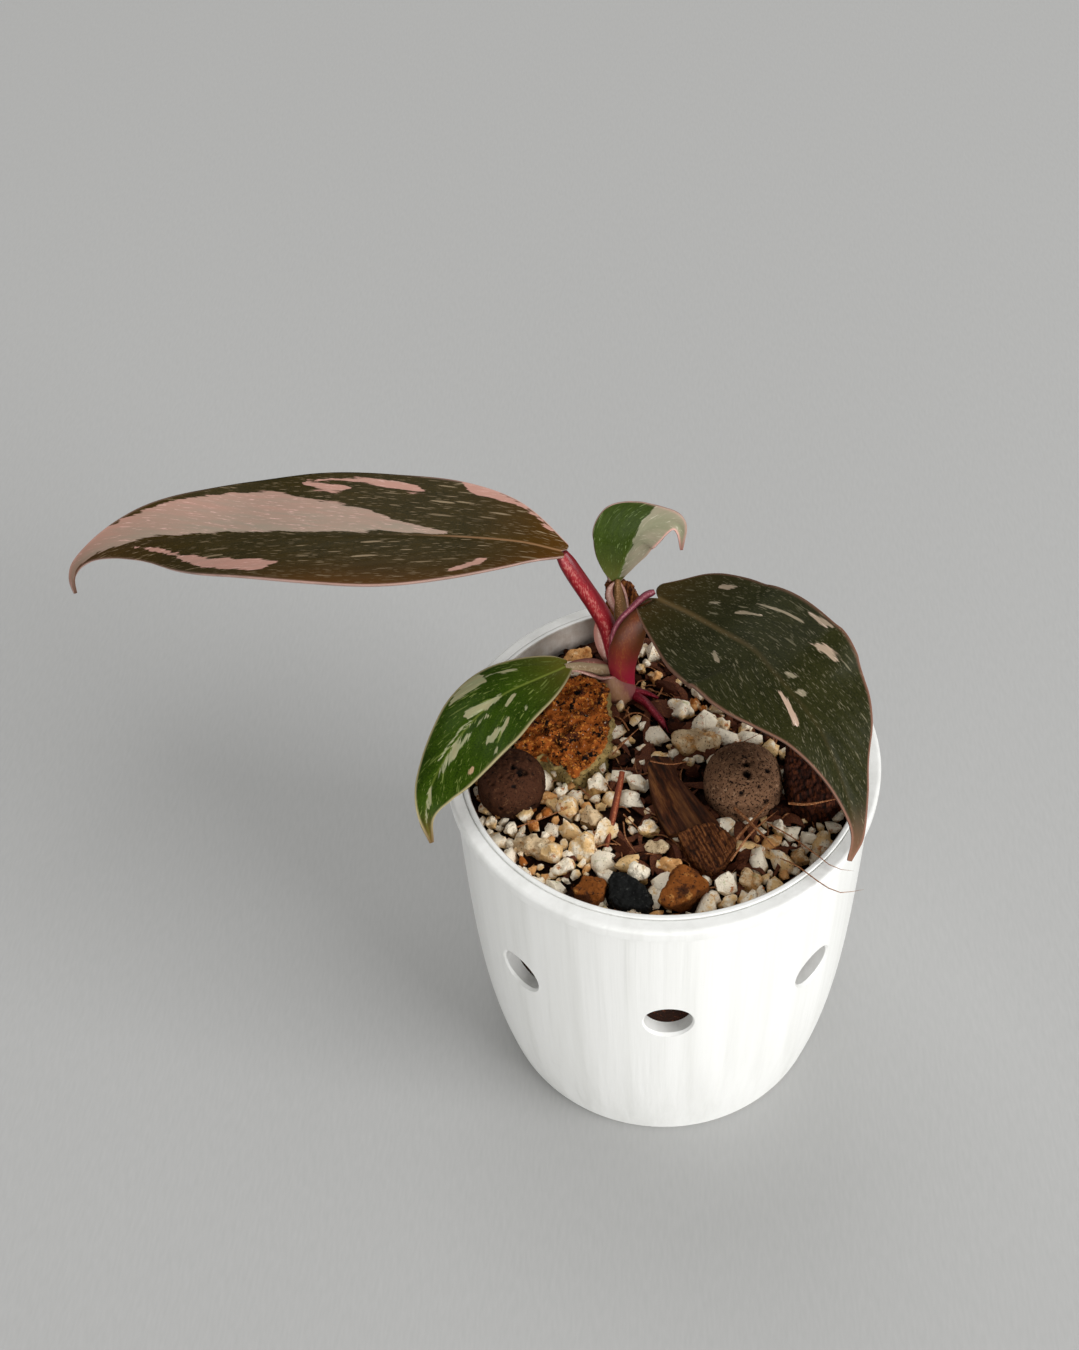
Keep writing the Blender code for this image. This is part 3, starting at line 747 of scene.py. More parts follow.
# Dry stones: next to no shine, stained in blots, with dark pores.
PUMICE = GrittyStone("pumice_dry_porous", 0.95, "#FFF3DC", (
    Stain("#EFC88E", 2.6, 0.5, 0.2), Stain("#C07436", 1.7, 0.58, 0.12), Stain("#BCBC8A", 3.2, 0.6, 0.14),
    Stain("#7A5C38", 0.5, 0.6, 0.08)), "#C8A066", 0.5, 0.5)
PUMICE_TAN = GrittyStone("pumice_weathered_tan", 0.95, "#D8BE98", (
    Stain("#C08E56", 2.6, 0.5, 0.2), Stain("#F0E0C0", 1.6, 0.56, 0.12), Stain("#A89C70", 3.2, 0.6, 0.14),
    Stain("#5E452A", 0.45, 0.58, 0.08)), "#A8865A", 0.5, 0.5)
AMBER = GrittyStone("amber_limestone_worn", 0.7, "#7E4618", (
    Stain("#40200C", 3.0, 0.5, 0.15), Stain("#B47C40", 3.0, 0.58, 0.12), Stain("#2A160A", 0.6, 0.58, 0.06)),
    "#5E3414", 0.6, 0.4)
TAN_PEBBLE = GrittyStone("amber_pebble_dry", 0.85, "#DCA468", (
    Stain("#A8622A", 2.2, 0.48, 0.2), Stain("#F0DCB4", 2.0, 0.54, 0.14), Stain("#6E4420", 0.5, 0.6, 0.06)),
    "#A06A34", 0.5, 0.4)
LAVA = GrittyStone("lava_rock_cindery", 0.85, "#A0541E", (
    Stain("#4A2210", 3.4, 0.5, 0.12), Stain("#D88C3C", 0.7, 0.54, 0.08), Stain("#0E0908", 1.8, 0.56, 0.05),
    Stain("#1E0E08", 0.5, 0.58, 0.05), Stain("#E8D8BC", 0.7, 0.66, 0.04)), "#A08C58", 0.5, 0.6)
# Fired clay balls: their near-black skirt colour is painted shade in the pressed pits.
CLAY = GrittyStone("fired_clay_ball_matt", 0.9, "#7E5C44", (
    Stain("#4C3424", 5.0, 0.52, 0.25), Stain("#9E7C60", 0.8, 0.56, 0.12), Stain("#1C110C", 0.45, 0.54, 0.05)),
    "#120B09", 0.4, 0.35)
# The left ball's darker copy of the clay: painted shade from the leaf above it, with a darker tone of the clay's own.
CLAY_IN_PAINTED_SHADE = GrittyStone("fired_clay_ball_shaded", 0.9, "#46291A", (
    Stain("#2A170E", 5.0, 0.52, 0.25), Stain("#66462F", 0.9, 0.58, 0.12), Stain("#140B08", 0.38, 0.58, 0.05)),
    "#120B09", 0.4, 0.35)
# Charcoal: near black, with a little more shine on its broken faces.
CHARCOAL = GrittyStone("charcoal_broken", 0.6, "#131413", (
    Stain("#080808", 2.0, 0.5), Stain("#3C3D3A", 0.5, 0.6, 0.08)), "#0C0C0C", 0.7, 0.5)
# Damp coir and bark: dark gaps between red-brown crumbs and shreds.
BED = GrittyStone("coir_and_bark_fines_damp", 0.9, "#24120A", (
    Stain("#0E0704", 2.5, 0.52, 0.2), Stain("#5A2E16", 0.7, 0.58, 0.1)), "#120905", 0.7, 0.6)
FINES = GrittyStone("bark_fines_damp", 0.85, "#3A1A0C", (
    Stain("#160905", 1.5, 0.5, 0.2), Stain("#70401E", 0.45, 0.6, 0.1)), "#1E0D06", 0.6, 0.4)
SHRED = StalkSkin("coconut_husk_shred_damp", 0.8, "#4E2410", "#200D06", "#7E4A26", "#3A1A0C", 0.3, 0.5)
COIR = StalkSkin("coir_fibre_dry", 0.7, "#7E4A26", "#4A2410", "#B4845A", "#5E3014")
# Studio paper: flat light grey.
PAPER = SeamlessPaper("studio_paper_matt", 0.9)


# The pot


@dataclass
class Pot:
    """The pot: one turned shell with a collar round its mouth and eight air holes in its side.

    Attributes hold its sizes in millimetres. hole_turn is the angle, in degrees, from the front of
    the pot to the first hole.
    """

    height: float = 88.0
    rim_radius: float = 42.5
    mouth_radius: float = 38.6
    body_top_radius: float = 41.3
    body_taper: float = 4.6
    body_curve: float = 4.2
    wall: float = 3.0
    floor: float = 3.0
    foot_round: float = 1.5
    lip_width: float = 1.0
    lip_rise: float = 0.3
    crease: float = 0.25
    shoulder_round: float = 0.9
    collar_depth: float = 3.3
    hole_count: int = 8
    hole_radius: float = 4.75
    hole_height: float = 54.0
    hole_turn: float = 2.5
    hole_chamfer: float = 0.7
    hole_facets: int = 48
    bore_depth: float = 6.0
    turns: int = 192

    def body_radius(self, height: float) -> float:
        """Outer radius of the side at a height."""
        return self.body_top_radius - self.body_taper * ((self.height - height) / self.height) ** self.body_curve

    def corner(self, middle: Pair, radius: float, start: float, end: float, steps: int = 6) -> list[Pair]:
        """Round a corner of the profile.

        Args:
            middle: Centre of the rounding, as (radius, height).
            radius: Radius of the rounding.
            start: First angle, in degrees from straight out.
            end: Last angle.
            steps: Number of segments.

        Returns:
            Points as (radius, height).
        """
        angles = [math.radians(start + (end - start) * step / steps) for step in range(steps + 1)]
        return [(middle[0] + radius * math.cos(a), middle[1] + radius * math.sin(a)) for a in angles]

    def profile(self) -> list[Pair]:
        """Draw the turned outline.

        Returns:
            Points as (radius, height), from the middle of the inner floor to that of the foot.
        """
        top = self.height
        collar = top - self.collar_depth
        shelf = top - self.lip_rise
        lip = self.mouth_radius + self.lip_width
        points = [(0.0, self.floor), (20.0, self.floor)]
        points += self.corner((self.body_radius(self.floor) - self.wall - 2, self.floor + 2), 2, -90, 0)
        points += [(self.body_radius(z) - self.wall, z) for z in (14, 24, 34, 44, 54, 64, 74, 82, collar)]
        points += [(self.mouth_radius, collar + 1.0)]
        points += self.corner((self.mouth_radius + 0.3, top - 0.3), 0.3, 180, 90, 4)
        points += self.corner((lip - 0.25, top - 0.25), 0.25, 90, 0, 4)
        points += [(lip, shelf - self.crease), (lip + 0.15, shelf - self.crease), (lip + 0.3, shelf)]
        points += self.corner((self.rim_radius - self.shoulder_round, shelf - self.shoulder_round),
                              self.shoulder_round, 90, 0, 8)
        points += self.corner((self.rim_radius - 0.3, collar + 0.3), 0.3, 0, -90, 4)
        points += [(self.body_radius(collar) + 0.05, collar)]
        points += [(self.body_radius(z), z) for z in range(84, 3, -4)]
        points += self.corner((self.body_radius(self.foot_round) - self.foot_round, self.foot_round),
                              self.foot_round, 0, -90)
        return points + [(20.0, 0.0), (0.0, 0.0)]

    def shell(self) -> bmesh.types.BMesh:
        """Spin the profile.

        Returns:
            The closed shell, in metres.
        """
        shape = bmesh.new()
        corners = [shape.verts.new((r * MM, 0.0, z * MM)) for r, z in self.profile()]
        edges = [shape.edges.new(pair) for pair in zip(corners, corners[1:])]
        bmesh.ops.spin(shape, geom=corners + edges, cent=(0, 0, 0), axis=(0, 0, 1), angle=2 * math.pi,
                       steps=self.turns, use_merge=True)
        bmesh.ops.remove_doubles(shape, verts=shape.verts, dist=WELD)
        bmesh.ops.recalc_face_normals(shape, faces=shape.faces)
        return shape

    def hole_cutters(self) -> bpy.types.Collection:
        """Make one chamfered cutter for each air hole.

        Returns:
            The collection that holds them.
        """
        cutters = bpy.data.collections.new("air_hole_cutters")
        outer = self.body_radius(self.hole_height)
        for number in range(self.hole_count):
            shape = bmesh.new()
            bmesh.ops.create_cone(shape, cap_ends=True, segments=self.hole_facets, radius1=self.hole_radius * MM,
                                  radius2=self.hole_radius * MM, depth=self.bore_depth * MM)
            cap = max(shape.faces, key=lambda face: face.calc_center_median().z)
            # the chamfer widens through the wall's outer face and then runs straight out
            for grow, reach in ((1.0, 0.0), (1.45, 2.2), (1.0, 3.0)):
                moved = bmesh.ops.extrude_face_region(shape, geom=[cap])["geom"]
                rim = [part for part in moved if isinstance(part, bmesh.types.BMVert)]
                bmesh.ops.translate(shape, verts=rim, vec=(0, 0, reach * MM))
                bmesh.ops.scale(shape, verts=rim, vec=(grow, grow, 1))
                bmesh.ops.delete(shape, geom=[cap], context="FACES_ONLY")
                cap = max(shape.faces, key=lambda face: face.calc_center_median().z)
            turn = math.radians(self.hole_turn + number * 360 / self.hole_count)
            outward = Vector((math.sin(turn), -math.cos(turn), 0))
            place = Matrix.Translation((outward * (outer - self.hole_chamfer - self.bore_depth / 2)
                                        + Vector((0, 0, self.hole_height))) * MM)
            place @= outward.to_track_quat("Z", "Y").to_matrix().to_4x4()
            bmesh.ops.remove_doubles(shape, verts=shape.verts, dist=WELD)
            bmesh.ops.transform(shape, matrix=place, verts=shape.verts)
            bmesh.ops.recalc_face_normals(shape, faces=shape.faces)
            mesh = bpy.data.meshes.new("air_hole_cutter")
            shape.to_mesh(mesh)
            shape.free()
            cutters.objects.link(bpy.data.objects.new(f"air_hole_cutter_{number + 1}", mesh))
        return cutters

    def build(self) -> None:
        """Build the pot, bore its holes and apply the bores."""
        cutters = self.hole_cutters()
        bpy.context.scene.collection.children.link(cutters)
        pot = add_piece("white_pot", self.shell(), [POT_PLASTIC.build()], "pot_white", ["pot"], 30)
        bores = pot.modifiers.new("air_holes", "BOOLEAN")
        bores.operand_type = "COLLECTION"
        bores.collection = cutters
        bores.solver = "EXACT"
        bpy.context.view_layer.update()
        graph = bpy.context.evaluated_depsgraph_get()
        bored = bpy.data.meshes.new_from_object(pot.evaluated_get(graph), depsgraph=graph)
        pot.modifiers.clear()
        pot.data = bored
        bored.shade_smooth()
        bored.set_sharp_from_angle(angle=math.radians(30))
        for cutter in list(cutters.objects):
            bpy.data.objects.remove(cutter)
        bpy.data.collections.remove(cutters)


# The mix and what lies on it


@dataclass
class PottingMix:
    """The bed of damp coir and bark fines that fills the pot, with small pumice grains on it.

    Attributes:
        level: Height of the surface in the middle, in millimetres.
        edge_level: Height at the wall.
        radius: Radius of the bed.
        depth: Height of the underside of the bed.
        roll: Height of the slow unevenness.
        crumb: Height of the crumbs.
        grain_count: How many small white grains are tried; those that find no room are left out.
        grain_sizes: Smallest and largest grain radius.
        amber_count: How many small amber grains are tried.
        amber_sizes: Smallest and largest radius of an amber grain.
        fines_count: How many dark chips are tried.
        fines_sizes: Smallest and largest radius of a chip.
        stone_width: A CAD node narrower than this, between the two heights below, is a stone, and
            the grains keep clear of it.
        stone_foot: Lower of those heights.
        stone_top: Upper of those heights.
        rings: Rings of the bed's mesh.
        turns: Sides of the bed's mesh.
        seed: Seed of the scatter.
    """

    level: float = 83.0
    edge_level: float = 81.5
    radius: float = 38.2
    depth: float = 40.0
    roll: float = 0.9
    crumb: float = 1.6
    grain_count: int = 560
    grain_sizes: Pair = (0.6, 2.7)
    amber_count: int = 46
    amber_sizes: Pair = (0.8, 2.2)
    fines_count: int = 300
    fines_sizes: Pair = (0.9, 3.6)
    stone_width: float = 24.0
    stone_foot: float = 78.0
    stone_top: float = 95.0
    rings: int = 80
    turns: int = 200
    seed: int = 11

    def height(self, x: float, y: float) -> float:
        """Height of the surface, without its crumbs.

        Args:
            x: Place to the right of the pot's middle, in millimetres.
            y: Place behind it.

        Returns:
            The height, in millimetres.
        """
        reach = min(math.hypot(x, y) / 38.6, 1.0)
        slope = self.level + (self.edge_level - self.level) * reach ** 3
        return slope + self.roll * noise.noise(Vector((x * 0.11, y * 0.11, 2.0)))

    def bed(self) -> bmesh.types.BMesh:
        """Turn a plug from a fine radius and raise its top into crumbs.

        Returns:
            The bed, in metres.
        """
        shape = bmesh.new()
        profile = [(self.radius * step / self.rings, self.level) for step in range(self.rings + 1)]
        profile += [(self.radius, self.depth), (0.0, self.depth)]
        corners = [shape.verts.new((r * MM, 0.0, z * MM)) for r, z in profile]
        edges = [shape.edges.new(pair) for pair in zip(corners, corners[1:])]
        bmesh.ops.spin(shape, geom=corners + edges, cent=(0, 0, 0), axis=(0, 0, 1), angle=2 * math.pi,
                       steps=self.turns, use_merge=True)
        bmesh.ops.remove_doubles(shape, verts=shape.verts, dist=WELD)
        for vertex in shape.verts:
            if vertex.co.z > (self.level - 1) * MM:
                x, y = vertex.co.x / MM, vertex.co.y / MM
                rough = noise.fractal(Vector((x * 0.4, y * 0.4, 5.0)), 0.9, 2.1, 4)
                vertex.co.z = (self.height(x, y) + self.crumb * rough - 0.9) * MM
        bmesh.ops.recalc_face_normals(shape, faces=shape.faces)
        return shape

    def lay_grain(self, shape: bmesh.types.BMesh, draw: random.Random, place: Vector, size: Vector,
                  chips: int) -> None:
        """Add one grain: a small ball, lumped by noise, with a few chips struck off.

        Args:
            shape: The shape to add to.
            draw: The seeded draw.
            place: Its middle, in millimetres.
            size: Its half-sizes, in millimetres.
            chips: How many chips are struck off.
        """
        tone_layer, skirt_layer = (shape.verts.layers.float[name] for name in ("tone", "skirt"))
        turn = Matrix.Rotation(draw.uniform(0, 6.28), 3, "Z") @ Matrix.Rotation(draw.uniform(-0.6, 0.6), 3, "X")
        offset = Vector((draw.uniform(0, 99), draw.uniform(0, 99), 0))
        strikes = [(Vector([draw.gauss(0, 1) for _ in range(3)]).normalized(), draw.uniform(0.45, 0.85))
                   for _ in range(chips)]
        tone = draw.uniform(-0.2, 0.2)
        for vertex in bmesh.ops.create_uvsphere(shape, u_segments=8, v_segments=6, radius=1.0)["verts"]:
            local = vertex.co.normalized()
            local *= 1 + 0.55 * noise.noise(local * 1.3 + offset) + 0.3 * noise.noise(local * 2.9 + offset)
            for way, limit in strikes:
                local -= way * max(local.dot(way) - limit, 0.0)
            vertex[tone_layer] = tone
            vertex[skirt_layer] = smoothstep(0.1, -0.6, local.z)
            vertex.co = (turn @ Vector([c * half for c, half in zip(local, size)]) + place) * MM

    def scatter(self, count: int, sizes: Pair, flat: float, chips: int,
                chance: Callable[[float, float], float], taken: list[Point], seed: int) -> bmesh.types.BMesh:
        """Scatter grains by a seeded draw, the largest first, clear of what lies there already.

        Args:
            count: How many grains to try.
            sizes: Smallest and largest radius, in millimetres.
            flat: Height of a grain as a share of its width.
            chips: How many chips are struck off each.
            chance: Share of grains that stay, at a place.
            taken: Places that are taken, as x, y and radius; the new grains are added.
            seed: Seed of the draw.

        Returns:
            The grains, in metres.
        """
        draw = random.Random(seed)
        shape = bmesh.new()
        for name in ("tone", "skirt"):
            shape.verts.layers.float.new(name)
        radii = sorted((sizes[0] + (sizes[1] - sizes[0]) * draw.random() ** 1.5 for _ in range(count)), reverse=True)
        for radius in radii:
            for _ in range(40):
                angle = draw.uniform(0, 2 * math.pi)
                reach = (self.radius - 0.9 * radius) * math.sqrt(draw.random())
                x, y = reach * math.cos(angle), reach * math.sin(angle)
                if draw.random() < chance(x, y) and not any(
                        math.hypot(x - a, y - b) < r + 0.78 * radius for a, b, r in taken):
                    taken.append((x, y, 0.78 * radius))
                    size = Vector((radius * draw.uniform(0.9, 1.3), radius * draw.uniform(0.75, 1.0),
                                   radius * flat * draw.uniform(0.8, 1.1)))
                    lift = 0.25 * size.z + draw.uniform(0.0, 0.5)
                    self.lay_grain(shape, draw, Vector((x, y, self.height(x, y) + lift)), size, chips)
                    break
        bmesh.ops.recalc_face_normals(shape, faces=shape.faces)
        return shape

    def grain_chance(self, x: float, y: float) -> float:
        """Pumice grains lie thickest at the left, along the front and at the right of the front.

        Args:
            x: Place to the right of the pot's middle, in millimetres.
            y: Place behind it.

        Returns:
            The share of grains that stay there.
        """
        left = smoothstep(-8, -14, x) * smoothstep(2, -6, y)
        front = smoothstep(-24, -30, y) * (0.45 + 0.55 * smoothstep(6, -12, x))
        right = smoothstep(14, 21, x) * smoothstep(-12, -18, y)
        behind = smoothstep(4, 8, x) * smoothstep(16, 12, x) * smoothstep(2, 6, y)
        return max(0.02, left, front, 0.6 * right, 0.3 * behind)

    def fines_chance(self, x: float, y: float) -> float:
        """Dark chips lie thickest in the middle and at the back."""
        return max(0.1, 1 - self.grain_chance(x, y))

    def build(self) -> None:
        """Build the bed, the grains and the dark chips."""
        add_piece("mix_bed", self.bed(), [BED.build()], "mix_dark", ["potting_mix"], 60)
        taken: list[Point] = []
        for node in frame["nodes"]:
            low, high = (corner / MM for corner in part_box(node))
            if high.x - low.x < self.stone_width and high.z < self.stone_top and low.z > self.stone_foot:
                middle = (low + high) / 2
                taken.append((middle.x, middle.y, 0.42 * min(high.x - low.x, high.y - low.y)))
        amber = self.scatter(self.amber_count, self.amber_sizes, 0.8, 3, self.grain_chance, taken, self.seed)
        add_piece("amber_grains", amber, [TAN_PEBBLE.build()], "amber", (), 60)
        grains = self.scatter(self.grain_count, self.grain_sizes, 0.85, 3, self.grain_chance, taken, self.seed + 1)
        add_piece("pumice_grains", grains, [PUMICE.build()], "pumice", (), 60)
        fines = self.scatter(self.fines_count, self.fines_sizes, 0.45, 6, self.fines_chance, taken, self.seed + 2)
        add_piece("bark_fines", fines, [FINES.build()], "bark", (), 30)


@dataclass(frozen=True)
class Weather:
    """How a stone is worn.

    Attributes:
        facets: How many flat chips are struck off it.
        strike: How deep the chips go, as a share of its size.
        lump: Height of its lumps, as a share of its smallest size.
        grit: Height of its roughness, in millimetres.
        grit_size: Width of its roughness, in millimetres.
        skin: Size of the faces of its mesh, in millimetres.
        pits: Depth of its pores, in millimetres.
        grow: How much larger it is made first, to make up for the chips.
    """

    facets: int = 9
    strike: float = 0.3
    lump: float = 0.1
    grit: float = 0.16
    grit_size: float = 0.9
    skin: float = 0.3
    pits: float = 0.0
    grow: float = 1.0


@dataclass(frozen=True)
class Chunk:
    """A stone or chip whose outline, seen from above, is given.

    Attributes:
        node: The CAD node that it replaces.
        slot: Its material slot.
        top: Corners of its top face, in millimetres.
        drop: Length of its sides.
        spread: Size of its underside against its top.
        rounding: Radius of its edges.
        finish: Its finish.
        weather: How it is worn.
        dish: How far the middle of its top sinks.
        way: Direction from its top face to the opposite one.
    """

    node: str
    slot: str
    top: tuple[Point, ...]
    drop: float
    spread: float
    rounding: float
    finish: Finish
    weather: Weather
    dish: float = 0.0
    way: Point = (0.0, 0.0, -1.0)

    def form(self) -> bmesh.types.BMesh:
        """Extrude the top face down and round its edges.

        Returns:
            The closed shape, in metres.
        """
        shape = bmesh.new()
        corners = [shape.verts.new(Vector(corner) * MM) for corner in self.top]
        middle = sum((corner.co for corner in corners), Vector()) / len(corners)
        face = shape.faces.new(corners)
        low = [part for part in bmesh.ops.extrude_face_region(shape, geom=[face])["geom"]
               if isinstance(part, bmesh.types.BMVert)]
        for vertex in low:
            vertex.co = middle + (vertex.co - middle) * self.spread + Vector(self.way) * self.drop * MM
        if self.dish:
            centre = bmesh.ops.poke(shape, faces=[f for f in shape.faces if len(f.verts) > 4
                                                  and f.calc_center_median().z > middle.z - 0.1 * MM])["verts"]
            bmesh.ops.translate(shape, verts=centre, vec=(0, 0, -self.dish * MM))
        bmesh.ops.recalc_face_normals(shape, faces=shape.faces)
        bmesh.ops.bevel(shape, geom=shape.edges, offset=self.rounding * MM, segments=2, profile=0.5,
                        affect="EDGES", material=-1, clamp_overlap=True)
        bmesh.ops.triangulate(shape, faces=shape.faces)
        bmesh.ops.recalc_face_normals(shape, faces=shape.faces)
        return shape


PEBBLE = Weather(7, 0.3, 0.3, 0.34, 1.1, 0.24, 0.25, 1.16)
BALL = Weather(0, 0.0, 0.02, 0.12, 0.8, 0.3, 0.3)
ROCK = Weather(3, 0.1, 0.08, 1.3, 2.6, 0.26, 0.9)

CHUNKS = (
    Chunk("lava_rock", "lava", ((-20, 15.5, 92.5), (-14, 15.8, 92), (-11.5, 12.5, 91.5), (-10.3, 8, 91.5),
        (-9.8, 3, 91), (-11, -1.5, 90), (-13.6, -5, 88.8), (-16.8, -7.2, 87.6), (-19, -5.6, 88), (-22, -4, 88.2),
        (-26, -2.8, 88.2), (-28.8, -0.5, 88.5), (-28.8, 4, 90), (-26, 11, 92)), 8.5, 1.02, 0.4, LAVA, ROCK, 0.8),
    Chunk("bark_back", "bark", ((-11.6, 32.4, 100.8), (-10.8, 32.4, 101.8), (-7.6, 32.6, 101), (-5.9, 32.6, 99.6),
        (-4.8, 32.4, 96.8), (-4.6, 32, 92.6), (-4, 31.6, 87), (-4.6, 31, 79), (-8.4, 31, 79), (-10.6, 31.6, 87),
        (-11.6, 32.2, 95)), 2.2, 0.94, 0.4,
        FibrousChip("pine_bark_upright", 0.85, "#5A3016", "#96602E", "#200D05", 15, 85, 0.7),
        Weather(0, 0, 0.04, 0.5, 0.9, 0.26), 0, (0, 1, 0.1)),
    Chunk("amber_rock", "amber", ((4, -26.5, 86.6), (6, -27, 87), (9.5, -29.5, 86), (9, -31, 85.6), (6.5, -32, 85.8),
        (5, -34, 85.6), (2, -35.5, 85.6), (-0.5, -34.5, 86), (-0.3, -33, 86.4), (1.5, -30.5, 87), (2.2, -27.5, 87)),
        5, 0.9, 0.5, AMBER, Weather(5, 0.12, 0.08, 0.22, 1.2, 0.25)),
    Chunk("charcoal", "charcoal", ((-9, -27.8, 85.8), (-6.5, -28.2, 86.2), (-4.5, -29.5, 86.2), (-1.4, -32, 85.8),
        (-1, -34, 85.4), (-2.2, -35.8, 85.2), (-5, -35.5, 85.4), (-8, -35, 85.4), (-9.4, -33.5, 85.4),
        (-9.5, -29.5, 85.6)), 5, 0.92, 0.5, CHARCOAL, Weather(4, 0.12, 0.06, 0.35, 0.8, 0.22)),
    Chunk("lava_small", "lava", ((-15.5, -29.2, 86), (-12.5, -28.2, 86.4), (-10.5, -28.7, 86.2), (-9.9, -31, 85.8),
        (-10.2, -33.2, 85.4), (-12.5, -34.2, 85.4), (-14.5, -33.6, 85.6), (-16, -32, 85.8)), 5, 0.95, 0.4, AMBER,
        Weather(4, 0.15, 0.08, 0.3, 1.2, 0.22)),
    Chunk("husk_chip", "husk", ((-1.8, -1.8, 88.4), (2, -1.6, 87.6), (3.6, -6, 86.6), (7.2, -11, 86.6),
        (10, -15, 86.4), (11.6, -17, 86.2), (7.5, -17.8, 86), (3.5, -19.2, 86), (1.6, -19.5, 86.6), (0, -16.5, 87.4),
        (-1.2, -13, 88), (-2, -10, 88.4), (-2.6, -4.5, 88.6)), 5, 0.95, 0.45,
        FibrousChip("coconut_husk_smooth", 0.6, "#3C1D0C", "#6A4222", "#1E0D04", -62, 0, 1.2),
        Weather(0, 0, 0.02, 0.12, 1.6, 0.28), 1.4),
    Chunk("husk_end", "husk", ((3.2, -20, 87), (4.5, -19, 87.4), (7.5, -17.7, 87.8), (10.5, -17.7, 87.8),
        (12.5, -19.5, 87.4), (14.3, -21.5, 86.8), (13.5, -23.5, 86.2), (11, -26, 85.4), (10.2, -27.2, 85),
        (7.5, -26.6, 85.2), (5.5, -24.5, 85.8), (4, -22, 86.6)), 5, 0.92, 0.4,
        FibrousChip("coconut_husk_cut_end", 0.8, "#4A2610", "#82522C", "#1A0B04", -62, -17, 0.45),
        Weather(0, 0, 0.04, 0.35, 0.9, 0.25)),
    Chunk("bark_right", "bark", ((24.5, 0.5, 91), (28, -0.5, 91), (31.5, -4, 90.5), (34, -8, 89.5), (34.6, -11, 88.5),
        (31.5, -13.5, 87.5), (28, -13.5, 87.5), (25, -12, 88), (23.8, -6.5, 90)), 8, 0.98, 0.4,
        FibrousChip("pine_bark_split", 0.85, "#30140A", "#5E3018", "#0E0502", 100, 55, 0.7),
        Weather(0, 0, 0.04, 0.5, 0.9, 0.26)),
)


class Pebble(Enum):
    """What a pebble is made of: its finish and its material slot."""

    WHITE = (PUMICE, "pumice")
    TAN = (PUMICE_TAN, "pumice")
    AMBER = (TAN_PEBBLE, "amber")


